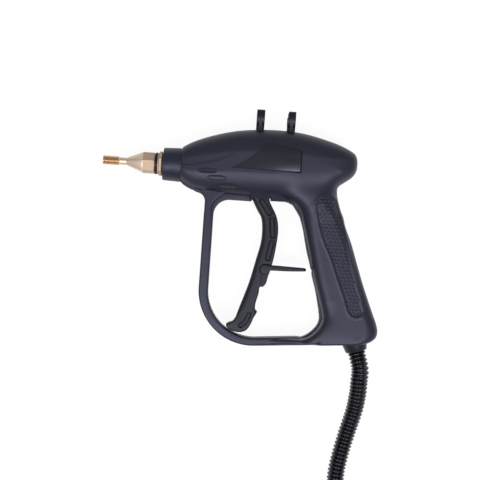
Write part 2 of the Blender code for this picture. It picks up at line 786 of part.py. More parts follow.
def casing_solid():
    collar = [round_ring(0.0, COLLAR_RADIUS - COLLAR_CHAMFER, BODY_SIDES),
              round_ring(COLLAR_CHAMFER, COLLAR_RADIUS, BODY_SIDES),
              round_ring(COLLAR_LENGTH, COLLAR_REAR_RADIUS, BODY_SIDES)]
    solid = loft("casing", collar + [body_ring(station, 0.0, BODY_SIDES) for station in body_station_shares])
    join(solid, loft("grip", [grip_ring(station, 0.0, BODY_SIDES) for station in grip_station_shares]))
    join(solid, plate("guard", guard_outline(), GUARD_THICKNESS, GUARD_ROUNDING))
    lip = [(u * BODY_LENGTH, -v * BODY_BELLY) for u, v in slot_lip_shares]
    join(solid, plate("slot_lip", lip, SLOT_LIP_THICKNESS, GUARD_ROUNDING))
    cut(solid, casing_core())
    cut(solid, box("trigger_slot", (SLOT_FRONT, -BODY_BELLY - OVERRUN, -SLOT_HALF_WIDTH),
                   (SLOT_REAR, -BODY_BELLY + WALL * 4, SLOT_HALF_WIDTH)))
    stem = HOLDER_STEM_RADIUS + GAP
    flange = HOLDER_FLANGE_RADIUS + GAP
    tube_room = TUBE_RADIUS + CLAMP_THICKNESS + GAP * 3
    flange_start = HOLDER_FLANGE_START
    flange_end = flange_start + WALL + GAP
    end_u = body_station_shares[3][0] * BODY_LENGTH
    bore = [(0.0, -OVERRUN), (stem, -OVERRUN), (stem, flange_start - GAP), (flange, flange_start - GAP),
            (flange, flange_end), (stem, flange_end), (stem, BARB_START - GAP), (tube_room, BARB_START),
            (tube_room, end_u), (0.0, end_u)]
    cut(solid, turned("holder_bore", (0.0, 0.0, 0.0), (1.0, 0.0, 0.0), bore))
    neck = GLAND_NECK_RADIUS + GAP
    pocket = GLAND_FLANGE_RADIUS + GAP
    pocket_end = -GLAND_FLANGE_TOP + GLAND_FLANGE_THICKNESS + GAP
    gland = [(0.0, -GLAND_FLANGE_TOP - WALL), (pocket, -GLAND_FLANGE_TOP - WALL), (pocket, pocket_end),
             (neck, pocket_end), (neck, OVERRUN), (0.0, OVERRUN)]
    cut(solid, turned("gland_bore", gland_point(0.0), gland_axis(), gland))
    for clip_u in (FRONT_CLIP_U, REAR_CLIP_U):
        half = CLIP_WEB / 2 + GAP
        wide = CLIP_TONGUE_HALF + GAP
        cut(solid, box("clip_slot", (clip_u - half, CLIP_FOOT_V, -wide),
                       (clip_u + half, CLIP_CENTRE_V, wide)))
    notch_u, notch_v = notch_place_shares[0] * GRIP_REACH, -notch_place_shares[1] * GRIP_DROP
    cut(solid, box("grip_notch", (notch_u - OVERRUN / 2, notch_v - NOTCH_HEIGHT / 2, -SLOT_HALF_WIDTH),
                   (notch_u, notch_v + NOTCH_HEIGHT / 2, SLOT_HALF_WIDTH)))
    pin_reach = TRIGGER_PIN_LENGTH / 2 + GAP
    cut(solid, rod("pivot_hole", (PIVOT_U, PIVOT_V, -pin_reach), (PIVOT_U, PIVOT_V, pin_reach),
                   TRIGGER_PIN_RADIUS + PIN_PLAY, SMALL_STEPS))
    return solid


def side_outline_cutters(side, with_badge):
    # Dimples, groove and badge recess follow the body's side
    tools = []
    for number, (u_share, v_share) in enumerate(dimple_shares, 1):
        centre = Vector((u_share * BODY_LENGTH, v_share * BODY_BELLY, 0.0))
        reach = Vector((DIMPLE_LENGTH - DIMPLE_WIDTH, 0.0, 0.0)) / 2
        outline = capsule((centre - reach).xy, (centre + reach).xy, DIMPLE_WIDTH, ARC_STEPS // 2)
        floor = [(u, v, side * (body_surface(u, v) - GAP * 2)) for u, v in outline]
        top = [(u, v, side * (BODY_HALF_WIDTH + WALL)) for u, v in outline]
        tools.append(loft("dimple_%d" % number, [floor, top]))
    if with_badge:
        outline = [(u * BODY_LENGTH, v * BODY_ROOF) for u, v in badge_shares]
        depths = [side * (min(body_surface(u, v), BODY_HALF_WIDTH) - BADGE_DEPTH) for u, v in outline]
        floor = [(u, v, w) for (u, v), w in zip(outline, depths)]
        top = [(u, v, side * (BODY_HALF_WIDTH + WALL)) for u, v in outline]
        tools.append(loft("badge_recess", [floor, top]))
    route = [(u * BODY_LENGTH, v * BODY_ROOF) for u, v in groove_shares]
    route = [point.xy for point in smooth_through([(u, v, 0.0) for u, v in route], 3)]
    line = [Vector((point.x, point.y, side * body_surface(point.x, point.y))) for point in route]
    tools.append(tube("groove", line, GROOVE_RADIUS, 1))
    return tools


def make_shells(solid):
    far = GRIP_REACH + OVERRUN
    for side, name in ((1, "left_shell"), (-1, "right_shell")):
        shell = copy_of(solid, name)
        low, high = sorted((side * PARTING_GAP / 2, side * (BODY_HALF_WIDTH + OVERRUN)))
        keep = box(name + "_half", (-OVERRUN, -far, low), (far + OVERRUN, far, high))
        combine(shell, keep, "INTERSECT")
        cut(shell, *side_outline_cutters(side, side > 0))
        for number, (u, v, head_w) in enumerate(screw_places(), 1):
            if side > 0:
                hole = rod("pilot_%d" % number, (u, v, -OVERRUN), (u, v, SCREW_REACH + GAP),
                           SCREW_RADIUS + GAP, SMALL_STEPS)
                cut(shell, hole)
            else:
                seat = head_w + SCREW_HEAD_HEIGHT + GAP
                hole = turned("hole_%d" % number, (u, v, 0.0), (0.0, 0.0, 1.0),
                              [(0.0, -OVERRUN), (SCREW_HEAD_RADIUS + GAP, -OVERRUN),
                               (SCREW_HEAD_RADIUS + GAP, seat), (SCREW_RADIUS + GAP, seat),
                               (SCREW_RADIUS + GAP, OVERRUN), (0.0, OVERRUN)], SMALL_STEPS)
                cut(shell, hole)
        finish(shell, name, plastic)


def make_screws():
    for number, (u, v, head_w) in enumerate(screw_places(), 1):
        name = "shell_screw_%d" % number
        drive = SCREW_DRIVE
        shoulder = SCREW_HEAD_HEIGHT
        reach = SCREW_REACH - head_w
        tip = SCREW_RADIUS
        item = turned(name, (u, v, head_w), (0.0, 0.0, 1.0),
                      [(0.0, drive), (drive, drive), (SCREW_RADIUS, 0.0), (SCREW_HEAD_RADIUS, shoulder / 2),
                       (SCREW_HEAD_RADIUS, shoulder), (SCREW_RADIUS, shoulder), (SCREW_RADIUS, reach - tip),
                       (0.0, reach)], SCREW_STEPS)
        finish(item, name, steel)


# Trigger group

def trigger_points(shares):
    return [(PIVOT_U + back * TRIGGER_REACH, PIVOT_V - down * TRIGGER_REACH) for back, down in shares]


def smooth_line(points, steps):
    return [(point.x, point.y) for point in smooth_through([(u, v, 0.0) for u, v in points], steps)]


def make_trigger():
    front = smooth_line(trigger_points(trigger_front_shares), CURVE_STEPS)
    rear = smooth_line(trigger_points(trigger_rear_shares), CURVE_STEPS)
    outline = front + trigger_points(trigger_toe_shares) + rear + trigger_points(trigger_arm_shares)
    item = plate("trigger", outline, TRIGGER_THICKNESS, TRIGGER_ROUNDING)
    half = TRIGGER_THICKNESS / 2
    disc = LATCH_DISC_RADIUS + GAP
    reach = LATCH_FORK_REACH - GAP
    upper, lower = latch_seat_shares
    recess = [(LATCH_U - disc * upper, LATCH_V), (LATCH_U - disc * lower, LATCH_V - reach),
              (LATCH_U + reach, LATCH_V - reach), (LATCH_U + reach, LATCH_V + disc),
              (LATCH_U, LATCH_V + disc)]
    for side in (-1, 1):
        low, high = sorted((side * LATCH_WEB / 2, side * (half + OVERRUN)))
        cut(item, slab("latch_recess", recess, low, high))
        cut(item, rod("latch_disc_recess", (LATCH_U, LATCH_V, low), (LATCH_U, LATCH_V, high), disc))
        low, high = sorted((side * (half - POCKET_DEPTH), side * (half + OVERRUN)))
        for back, down, far_back, far_down, width in trigger_pocket_shares:
            start, end = trigger_points([(back, down), (far_back, far_down)])
            pocket = capsule(start, end, width * TRIGGER_REACH, ARC_STEPS // 2)
            cut(item, slab("trigger_pocket", pocket, low, high))
    cut(item, rod("pivot_bore", (PIVOT_U, PIVOT_V, -OVERRUN), (PIVOT_U, PIVOT_V, OVERRUN),
                  TRIGGER_PIN_RADIUS + PIN_PLAY, SMALL_STEPS))
    cut(item, rod("latch_bore", (LATCH_U, LATCH_V, -OVERRUN), (LATCH_U, LATCH_V, OVERRUN),
                  LATCH_PIN_RADIUS + PIN_PLAY, SMALL_STEPS))
    finish(item, "trigger", plastic)
    set_origin(item, (PIVOT_U, PIVOT_V, 0.0))
    reach = TRIGGER_PIN_LENGTH / 2
    pin = rod("trigger_pin", (PIVOT_U, PIVOT_V, -reach), (PIVOT_U, PIVOT_V, reach), TRIGGER_PIN_RADIUS,
              SMALL_STEPS)
    finish(pin, "trigger_pin", steel)


def make_latch():
    arm = [(LATCH_U + x * LATCH_ARM_LENGTH, LATCH_V + y * LATCH_ARM_LENGTH) for x, y in latch_arm_shares]
    outline = [(LATCH_U, LATCH_V + latch_arm_shares[0][1] * LATCH_ARM_LENGTH)] + arm
    outline.append((LATCH_U, LATCH_V + latch_arm_shares[-1][1] * LATCH_ARM_LENGTH))
    half = LATCH_THICKNESS / 2
    item = slab("safety_latch", outline, -half, half)
    join(item, rod("latch_disc", (LATCH_U, LATCH_V, -half), (LATCH_U, LATCH_V, half), LATCH_DISC_RADIUS))
    inner = LATCH_WEB / 2 + GAP
    back = LATCH_DISC_RADIUS + OVERRUN
    cut(item, box("fork_gap", (LATCH_U - back, LATCH_V - back, -inner),
                  (LATCH_U + LATCH_FORK_REACH, LATCH_V + back, inner)))
    reach = LATCH_PIN_LENGTH / 2
    cut(item, rod("latch_pin_hole", (LATCH_U, LATCH_V, -reach - GAP), (LATCH_U, LATCH_V, reach + GAP),
                  LATCH_PIN_RADIUS + PIN_PLAY, SMALL_STEPS))
    finish(item, "safety_latch", plastic)
    set_origin(item, (LATCH_U, LATCH_V, 0.0))
    pin = rod("latch_pin", (LATCH_U, LATCH_V, -reach), (LATCH_U, LATCH_V, reach), LATCH_PIN_RADIUS,
              SMALL_STEPS)
    finish(pin, "latch_pin", steel)


def make_spring():
    face_u = PIVOT_U - trigger_face_offset() - GAP
    start_u = face_u - SPRING_LENGTH
    travel = SPRING_LENGTH - SPRING_WIRE_RADIUS * 2
    count = SPRING_TURNS * SPRING_TURN_POINTS
    points = []
    for index in range(count + 1):
        angle = math.tau * index / SPRING_TURN_POINTS
        points.append(Vector((start_u + SPRING_WIRE_RADIUS + travel * index / count,
                              SPRING_V + SPRING_RADIUS * math.cos(angle), SPRING_RADIUS * math.sin(angle))))
    item = tube("trigger_spring", points, SPRING_WIRE_RADIUS, 0)
    finish(item, "trigger_spring", steel)


def make_switch():
    low = (switch_face_u() - SWITCH_DEPTH, switch_top_v() - SWITCH_HEIGHT, -SWITCH_WIDTH / 2)
    high = (switch_face_u(), switch_top_v(), SWITCH_WIDTH / 2)
    item = box("microswitch", low, high)
    bore = PLUNGER_RADIUS + GAP
    cut(item, rod("plunger_bore", (switch_face_u() - PLUNGER_BORE_DEPTH, plunger_v(), 0.0),
                  (switch_face_u() + OVERRUN, plunger_v(), 0.0), bore, SMALL_STEPS))
    finish(item, "microswitch", switch_case)
    face_u = PIVOT_U - trigger_face_offset() - GAP
    plunger = rod("switch_plunger", (face_u - PLUNGER_LENGTH, plunger_v(), 0.0), (face_u, plunger_v(), 0.0),
                  PLUNGER_RADIUS, SMALL_STEPS)
    finish(plunger, "switch_plunger", red_plastic)
    set_origin(plunger, (switch_face_u(), plunger_v(), 0.0))


# Nozzle group

def hex_ring(u, radius, turn_deg, sides):
    # A hexagon drawn with as many points as the round rings; zero turn has a corner at the top
    points = []
    flat = radius * math.cos(math.pi / 6)
    for index in range(sides):
        angle = math.tau * index / sides
        offset = (angle % (math.pi / 3)) - math.pi / 6
        reach = flat / math.cos(offset)
        place = angle + math.radians(turn_deg)
        points.append(Vector((u, reach * math.cos(place), reach * math.sin(place))))
    return points


def circle_ring(u, radius, turn_deg, sides):
    points = []
    for index in range(sides):
        place = math.tau * index / sides + math.radians(turn_deg)
        points.append(Vector((u, radius * math.cos(place), radius * math.sin(place))))
    return points


def seal_section(middle, wire):
    angles = [math.tau * index / SEAL_SIDES for index in range(SEAL_SIDES)]
    return [(middle + wire * math.cos(angle), wire * math.sin(angle)) for angle in angles]


def make_nozzle():
    rear = -HOLDER_HEAD - SEAL_THICKNESS - GAP * 2
    tip = rear - NOZZLE_LENGTH
    chamfer = NOZZLE_CHAMFER
    # The places run from the tip: thread end, neck end, cone end and rear chamfer
    places = [tip + share * NOZZLE_LENGTH for share in nozzle_shares.values()]
    thread_end, neck_end, cone_end, rim_start = places
    rings = [circle_ring(tip, NOZZLE_TIP_RADIUS - chamfer, HEX_TURN_DEG, ROUND_STEPS),
             circle_ring(tip + chamfer, NOZZLE_TIP_RADIUS, HEX_TURN_DEG, ROUND_STEPS),
             circle_ring(thread_end - chamfer, NOZZLE_TIP_RADIUS, HEX_TURN_DEG, ROUND_STEPS),
             circle_ring(thread_end, NOZZLE_NECK_RADIUS, HEX_TURN_DEG, ROUND_STEPS),
             circle_ring(neck_end, NOZZLE_NECK_RADIUS, HEX_TURN_DEG, ROUND_STEPS),
             hex_ring(neck_end + chamfer, NOZZLE_NECK_RADIUS + chamfer / 2, HEX_TURN_DEG, ROUND_STEPS),
             hex_ring(cone_end, NOZZLE_HEX_RADIUS, HEX_TURN_DEG, ROUND_STEPS),
             hex_ring(rim_start, NOZZLE_HEX_RADIUS, HEX_TURN_DEG, ROUND_STEPS),
             hex_ring(rear, NOZZLE_HEX_RADIUS - chamfer, HEX_TURN_DEG, ROUND_STEPS)]
    item = loft("nozzle", rings)
    socket = SPIGOT_RADIUS + GAP
    cut(item, turned("nozzle_bore", (rear, 0.0, 0.0), (-1.0, 0.0, 0.0),
                     [(0.0, -OVERRUN), (socket, -OVERRUN), (socket, NOZZLE_SOCKET_DEPTH),
                      (NOZZLE_BORE, NOZZLE_SOCKET_DEPTH + socket), (NOZZLE_BORE, NOZZLE_LENGTH + OVERRUN),
                      (0.0, NOZZLE_LENGTH + OVERRUN)], SMALL_STEPS))
    finish(item, "nozzle", brass)
    wire = SEAL_THICKNESS / 2
    middle = SEAL_RADIUS - wire
    seal = turned("nozzle_o_ring", (-HOLDER_HEAD - GAP - wire, 0.0, 0.0), (1.0, 0.0, 0.0),
                  seal_section(middle, wire), HOLDER_STEPS)
    finish(seal, "nozzle_o_ring", rubber)


def make_holder():
    head = -HOLDER_HEAD
    shelf = HOLDER_SHELF
    flange_start = HOLDER_FLANGE_START
    spigot_end = head - SEAL_THICKNESS - GAP * 2 - NOZZLE_SOCKET_DEPTH + GAP * 2
    stop = -GAP * 3
    turn = HOLDER_HEX_TURN_DEG
    tooth = BARB_LENGTH / BARB_TEETH
    rings = [circle_ring(spigot_end, SPIGOT_RADIUS - GAP, turn, HOLDER_STEPS),
             circle_ring(spigot_end + GAP, SPIGOT_RADIUS, turn, HOLDER_STEPS),
             circle_ring(head, SPIGOT_RADIUS, turn, HOLDER_STEPS),
             circle_ring(head, HOLDER_RING_RADIUS, turn, HOLDER_STEPS),
             circle_ring(head + shelf, HOLDER_RING_RADIUS, turn, HOLDER_STEPS),
             hex_ring(head + shelf, HOLDER_HEX_RADIUS - GAP * 2, turn, HOLDER_STEPS),
             hex_ring(head + shelf + GAP * 2, HOLDER_HEX_RADIUS, turn, HOLDER_STEPS),
             hex_ring(stop, HOLDER_HEX_RADIUS, turn, HOLDER_STEPS),
             circle_ring(stop, HOLDER_STEM_RADIUS, turn, HOLDER_STEPS),
             circle_ring(flange_start, HOLDER_STEM_RADIUS, turn, HOLDER_STEPS),
             circle_ring(flange_start, HOLDER_FLANGE_RADIUS, turn, HOLDER_STEPS),
             circle_ring(flange_start + WALL, HOLDER_FLANGE_RADIUS, turn, HOLDER_STEPS),
             circle_ring(flange_start + WALL, HOLDER_STEM_RADIUS, turn, HOLDER_STEPS),
             circle_ring(BARB_START - GAP * 2, HOLDER_STEM_RADIUS, turn, HOLDER_STEPS)]
    base = BARB_RADIUS - GAP * 2
    rings.append(circle_ring(BARB_START - GAP * 2, base, turn, HOLDER_STEPS))
    rise, crest = barb_tooth_shares
    for index in range(BARB_TEETH):
        start = BARB_START + tooth * index
        rings.append(circle_ring(start + tooth * rise, base, turn, HOLDER_STEPS))
        rings.append(circle_ring(start + tooth * crest, BARB_RADIUS, turn, HOLDER_STEPS))
        rings.append(circle_ring(start + tooth, base, turn, HOLDER_STEPS))
    item = loft("nozzle_holder", rings)
    channel_end = BARB_START + OVERRUN
    cut(item, rod("holder_channel", (-OVERRUN, 0.0, 0.0), (channel_end, 0.0, 0.0), HOLDER_BORE, SMALL_STEPS))
    finish(item, "nozzle_holder", brass)


def tube_route():
    points = [Vector((u * BODY_LENGTH, v * GRIP_DROP, 0.0)) for u, v in tube_route_shares]
    points += [gland_point(-GLAND_FLANGE_TOP * 2), gland_point(-GLAND_FLANGE_TOP)]
    return smooth_through(points, CURVE_STEPS)


def make_steam_tube():
    route = [Vector((BARB_START, 0.0, 0.0))] + tube_route() + [gland_point(GLAND_DROP - CORD_END_GAP)]
    item = tube("steam_tube", route, TUBE_RADIUS, 1)
    cut(item, rod("barb_room", (BARB_START - OVERRUN, 0.0, 0.0), (BARB_START + BARB_LENGTH + GAP, 0.0, 0.0),
                  BARB_RADIUS + GAP, SMALL_STEPS))
    finish(item, "steam_tube", silicone)
    inner = TUBE_RADIUS + GAP
    outer = inner + CLAMP_THICKNESS
    start = BARB_START + BARB_LENGTH / 3
    clamp = turned("tube_clamp", (start, 0.0, 0.0), (1.0, 0.0, 0.0),
                   [(outer, 0.0), (outer, CLAMP_WIDTH), (inner, CLAMP_WIDTH), (inner, 0.0)], SMALL_STEPS)
    finish(clamp, "tube_clamp", steel)


def make_wires():
    for number, side in ((1, 1), (2, -1)):
        start = Vector((switch_face_u() - SWITCH_DEPTH - GAP, switch_top_v() - SWITCH_HEIGHT / 4,
                        side * SWITCH_WIDTH / 4))
        points = [start]
        for u, v, w in wire_route_shares:
            points.append(Vector((PIVOT_U - u * TRIGGER_REACH, v * GRIP_DROP, side * w * WIRE_SPREAD)))
        spread = Vector((0.0, 0.0, side * WIRE_SPREAD))
        route = tube_route()[WIRE_JOIN_POINT:]
        points = smooth_through(points, CURVE_STEPS) + [point + spread for point in route]
        points.append(gland_point(GLAND_DROP - CORD_END_GAP) + spread)
        name = "signal_wire_%d" % number
        finish(tube(name, points, WIRE_RADIUS, 0), name, wire_skin)


# Tube clips

def make_clip(name, u):
    outer = CLIP_INNER_RADIUS + CLIP_WALL
    rings = [[(place, v, w) for w, v in clip_loop()] for place in (u - CLIP_WIDTH / 2, u + CLIP_WIDTH / 2)]
    item = loft(name, rings)
    web = CLIP_WEB / 2
    gusset_w = outer * clip_web_share
    saddle = arc((0.0, CLIP_CENTRE_V), CLIP_INNER_RADIUS + CLIP_WALL / 2, 0.0, -180.0, ARC_STEPS)
    web_foot = CLIP_FOOT_V + WALL
    web_outline = [(-gusset_w, CLIP_CENTRE_V), (-gusset_w, web_foot), (gusset_w, web_foot),
                   (gusset_w, CLIP_CENTRE_V)] + saddle[1:-1]
    rings = [[(place, v, w) for w, v in web_outline] for place in (u - web, u + web)]
    join(item, loft("clip_web", rings))
    cut(item, roof_skin(u))
    tongue_top = BODY_ROOF + WALL / 2
    join(item, box("clip_tongue", (u - web, CLIP_FOOT_V + CLIP_FOOT_HEIGHT / 2, -CLIP_TONGUE_HALF),
                   (u + web, tongue_top, CLIP_TONGUE_HALF)))
    join(item, box("clip_foot", (u - CLIP_WIDTH / 2, CLIP_FOOT_V, -CLIP_TONGUE_HALF),
                   (u + CLIP_WIDTH / 2, CLIP_FOOT_V + CLIP_FOOT_HEIGHT, CLIP_TONGUE_HALF)))
    finish(item, name, plastic)


def clip_loop():
    # The open ring: outer side from the right tip down and round to the left tip, then back inside
    outer = CLIP_INNER_RADIUS + CLIP_WALL
    centre = (0.0, CLIP_CENTRE_V)
    outer_arc = arc(centre, outer, CLIP_OUTER_END_DEG, -180.0 - CLIP_OUTER_END_DEG, ARC_STEPS * 2)
    inner_arc = arc(centre, CLIP_INNER_RADIUS, -180.0 - CLIP_INNER_END_DEG, CLIP_INNER_END_DEG, ARC_STEPS * 2)
    tip_w = outer_arc[0][0]
    right = [(tip_w + CLIP_WALL * share, CLIP_TIP_V) for share in clip_lip_shares]
    left = [(-w, v) for w, v in reversed(right)]
    return right + outer_arc + left + inner_arc


def roof_skin(u):
    # The roof with a gap round it, near one clip
    stations = [station for station in body_station_shares
                if abs(station[0] * BODY_LENGTH - u) < BODY_LENGTH / 4]
    return loft("roof_skin", [body_ring(station, -GAP, BODY_SIDES) for station in stations])


# Hose group

def make_gland():
    top = -GLAND_FLANGE_TOP
    under = top + GLAND_FLANGE_THICKNESS
    lip_radius, lip_drop = gland_lip_shares
    profile = [(GLAND_FLANGE_RADIUS, top), (GLAND_FLANGE_RADIUS, under), (GLAND_NECK_RADIUS, under),
               (GLAND_NECK_RADIUS, GAP * 2), (GLAND_RADIUS, GAP * 2 + GLAND_CHAMFER),
               (GLAND_RADIUS * lip_radius, GLAND_DROP * lip_drop), (GLAND_END_RADIUS, GLAND_DROP),
               (GLAND_BORE, GLAND_DROP),
               (GLAND_BORE, top)]
    item = turned("hose_gland", gland_point(0.0), gland_axis(), profile, HOLDER_STEPS)
    cut(item, grip_base_skin())
    finish(item, "hose_gland", plastic)


def grip_base_skin():
    # The slab of the grip's foot, with a gap round it, that the collar of the gland butts against
    foot = grip_station_shares[-3:]
    rings = []
    for station in foot:
        rings.append([point + Vector((0.0, -GAP, 0.0)) for point in grip_ring(station, 0.0, BODY_SIDES)])
    skin = loft("foot_skin", rings)
    cut(skin, rod("neck_room", gland_point(-OVERRUN), gland_point(OVERRUN), GLAND_NECK_RADIUS + GAP / 2))
    return skin


def hose_points():
    start = gland_point(GLAND_DROP + GAP)
    straight = gland_point(GLAND_DROP + GAP + HOSE_RADIUS * 2)
    end_v = COIL_V + HOSE_RADIUS * 2 + GAP
    points = [start, straight]
    points += [gland_point(0.0) + Vector(shares) * HOSE_DROP for shares in hose_route_shares]
    points += [Vector((COIL_ENTRY_U, end_v + HOSE_RADIUS * 2, COIL_LEVEL)),
               Vector((COIL_ENTRY_U, end_v, COIL_LEVEL))]
    return points


def ribbed_hose(name, points):
    # Two points a rib, of unlike radius, so the outside is a row of crests and grooves
    line = smooth_through(points, HOSE_CURVE_STEPS)
    ribs = round(line_length(line) / HOSE_RIB_PITCH)
    places = spaced(line, line_length(line) / (ribs * 2))
    low = 1.0 - HOSE_GROOVE_DEPTH / HOSE_RADIUS
    radii = [1.0 if index % 2 else low for index in range(len(places))]
    item = tube(name, places, HOSE_RADIUS, 2, radii)
    inner = spaced(line, HOSE_RADIUS * 2)
    inner = [inner[0] * 2 - inner[1]] + inner + [inner[-1] * 2 - inner[-2]]
    cut(item, tube(name + "_bore", inner, HOSE_BORE, 2))
    return item


def coil_centre():
    return Vector((COIL_ENTRY_U - COIL_RADIUS, COIL_V, 0.0))


def coil_points():
    # The loops spiral in on the lower layer, climb where the spiral turns, and spiral out on the upper one
    centre = coil_centre()
    turning = ENTRY_TURNS + CLIMB_TURNS / 2
    points = [Vector((COIL_ENTRY_U, COIL_V + HOSE_RADIUS * 2, COIL_LEVEL))]
    count = round(TOTAL_TURNS * LOOP_POINTS)
    for index in range(count + 1):
        turns = TOTAL_TURNS * index / count
        radius = COIL_RADIUS - COIL_PITCH * (turning - abs(turns - turning))
        share = min(max((turns - ENTRY_TURNS) / CLIMB_TURNS, 0.0), 1.0)
        level = COIL_LEVEL + COIL_LAYER * share * share * (3 - 2 * share)
        angle = -math.tau * turns
        points.append(centre + Vector((radius * math.cos(angle), radius * math.sin(angle), level)))
    last = points[-1]
    points.append(last + Vector((-HOSE_RADIUS * 2, 0.0, 0.0)))
    return points


def least_gap(points):
    # The least free space between stretches of the coil that aren't neighbours along it
    step = HOSE_RADIUS / 2
    fine = spaced(smooth_through(points, ROUND_STEPS // SEAL_SIDES), step)
    neighbours = round(HOSE_RADIUS * 4 / step)
    best = COIL_RADIUS
    for index, here in enumerate(fine):
        for other in fine[index + neighbours:]:
            best = min(best, (other - here).length)
    return best - HOSE_RADIUS * 2


def make_hose():
    run = ribbed_hose("hose_run", hose_points())
    finish(run, "hose_run", hose_skin)
    coil = coil_points()
    print("least gap of the coil to itself: %.2f mm" % (least_gap(coil) * 1000))
    finish(tube("hose_coil", coil, HOSE_RADIUS, 1), "hose_coil", hose_skin)
    start = coil[-1] + Vector((-GAP, 0.0, 0.0))
    points = [start, start + Vector((-HOSE_RIB_PITCH, 0.0, 0.0))]
    points += [coil_centre() + Vector(shares) * COIL_RADIUS for shares in tail_route_shares]
    points += [connector_point(-GAP - HOSE_RADIUS * step) for step in (3, 2, 1, 0)]
    finish(ribbed_hose("hose_tail", points), "hose_tail", hose_skin)
    total = line_length(smooth_through(hose_points(), HOSE_CURVE_STEPS)) + line_length(coil)
    total += line_length(smooth_through(points, HOSE_CURVE_STEPS))
    print("hose length: %.3f m" % total)


def connector_point(distance, side=0.0, height=0.0):
    start = coil_centre() - Vector((CONNECTOR_BEHIND, CONNECTOR_UNDER, 0.0))
    return start + Vector((-distance, side, CONNECTOR_LEVEL + height))


def make_connector():
    sleeve = turned("connector_sleeve", connector_point(0.0), (-1.0, 0.0, 0.0),
                    [(0.0, 0.0), (HOSE_RADIUS, 0.0)]
                    + [(SLEEVE_RADIUS * wide, SLEEVE_LENGTH * along) for wide, along in sleeve_shares]
                    + [(SLEEVE_RADIUS, SLEEVE_LENGTH), (0.0, SLEEVE_LENGTH)])
    finish(sleeve, "connector_sleeve", rubber)
    back = SLEEVE_LENGTH + GAP
    front = back + PLUG_LENGTH
    rings = []
    for along_share, size_share in plug_station_shares:
        centre = connector_point(back + PLUG_LENGTH * along_share)
        along = Vector((0.0, PLUG_HALF_WIDTH * size_share, 0.0))
        across = Vector((0.0, 0.0, PLUG_HALF_HEIGHT * size_share))
        rings.append(oval_ring(centre, along, across, PLUG_EXPONENT, BODY_SIDES))
    body = loft("connector_body", rings)
    socket = front - NIPPLE_SOCKET
    cut(body, rod("nipple_socket", connector_point(socket), connector_point(front + OVERRUN),
                  NIPPLE_RADIUS + GAP, SMALL_STEPS))
    for index in (-1, 0, 1):
        side = index * CONTACT_SPREAD
        height = -CONTACT_SINK if index == 0 else 0.0
        cut(body, rod("contact_socket", connector_point(socket, side, height),
                      connector_point(front + OVERRUN, side, height), CONTACT_RADIUS + GAP, SMALL_STEPS))
    well = back + BUTTON_PLACE
    top = PLUG_HALF_HEIGHT
    cut(body, box("button_well", connector_point(well + BUTTON_LENGTH / 2 + GAP, -BUTTON_WIDTH / 2 - GAP,
                                                 top - BUTTON_WELL_DEPTH),
                  connector_point(well - BUTTON_LENGTH / 2 - GAP, BUTTON_WIDTH / 2 + GAP, top + OVERRUN)))
    finish(body, "connector_body", plastic)
    nipple = turned("connector_nipple", connector_point(socket + GAP), (-1.0, 0.0, 0.0),
                    nipple_profile(NIPPLE_SOCKET - GAP + NIPPLE_STANDOUT), SMALL_STEPS)
    finish(nipple, "connector_nipple", brass)
    seal = turned("connector_o_ring", connector_point(front + NIPPLE_SEAL_PLACE), (-1.0, 0.0, 0.0),
                  seal_section(NIPPLE_RADIUS, NIPPLE_SEAL_WIRE), SMALL_STEPS)
    finish(seal, "connector_o_ring", rubber)
    for number, index in enumerate((-1, 0, 1), 1):
        side = index * CONTACT_SPREAD
        height = -CONTACT_SINK if index == 0 else 0.0
        name = "connector_contact_%d" % number
        pin = turned(name, connector_point(socket + GAP, side, height), (-1.0, 0.0, 0.0),
                     [(0.0, 0.0), (CONTACT_RADIUS, 0.0),
                      (CONTACT_RADIUS, NIPPLE_SOCKET + CONTACT_STANDOUT - CONTACT_RADIUS),
                      (0.0, NIPPLE_SOCKET + CONTACT_STANDOUT)], SMALL_STEPS)
        finish(pin, name, brass)
    low = top + BUTTON_STANDOUT - BUTTON_HEIGHT
    button = box("connector_button", connector_point(well + BUTTON_LENGTH / 2, -BUTTON_WIDTH / 2, low),
                 connector_point(well - BUTTON_LENGTH / 2, BUTTON_WIDTH / 2, top + BUTTON_STANDOUT))
    finish(button, "connector_button", plastic)
    set_origin(button, connector_point(well, 0.0, top))
    floor = top - BUTTON_WELL_DEPTH + GAP
    height = low - GAP - floor - SPRING_WIRE_RADIUS * 2
    points = []
    count = BUTTON_SPRING_TURNS * BUTTON_SPRING_POINTS
    for index in range(count + 1):
        angle = math.tau * index / BUTTON_SPRING_POINTS
        points.append(connector_point(well, SPRING_RADIUS * math.cos(angle),
                                      floor + SPRING_WIRE_RADIUS + height * index / count)
                      + Vector((SPRING_RADIUS * math.sin(angle), 0.0, 0.0)))
    finish(tube("connector_button_spring", points, SPRING_WIRE_RADIUS, 1), "connector_button_spring", steel)


def nipple_profile(length):
    # A seal groove near the tip
    seal = length - NIPPLE_STANDOUT + NIPPLE_SEAL_PLACE
    groove = NIPPLE_RADIUS - NIPPLE_SEAL_WIRE - GAP
    half = NIPPLE_SEAL_WIRE + GAP
    return [(NIPPLE_RADIUS, 0.0), (NIPPLE_RADIUS, seal - half), (groove, seal - half), (groove, seal + half),
            (NIPPLE_RADIUS, seal + half), (NIPPLE_RADIUS, length - GAP), (NIPPLE_RADIUS - GAP, length),
            (NIPPLE_BORE, length), (NIPPLE_BORE, 0.0)]


clear_scene()
parts = make_collection("steam_cleaner_gun")
cutters = make_collection("cutters")

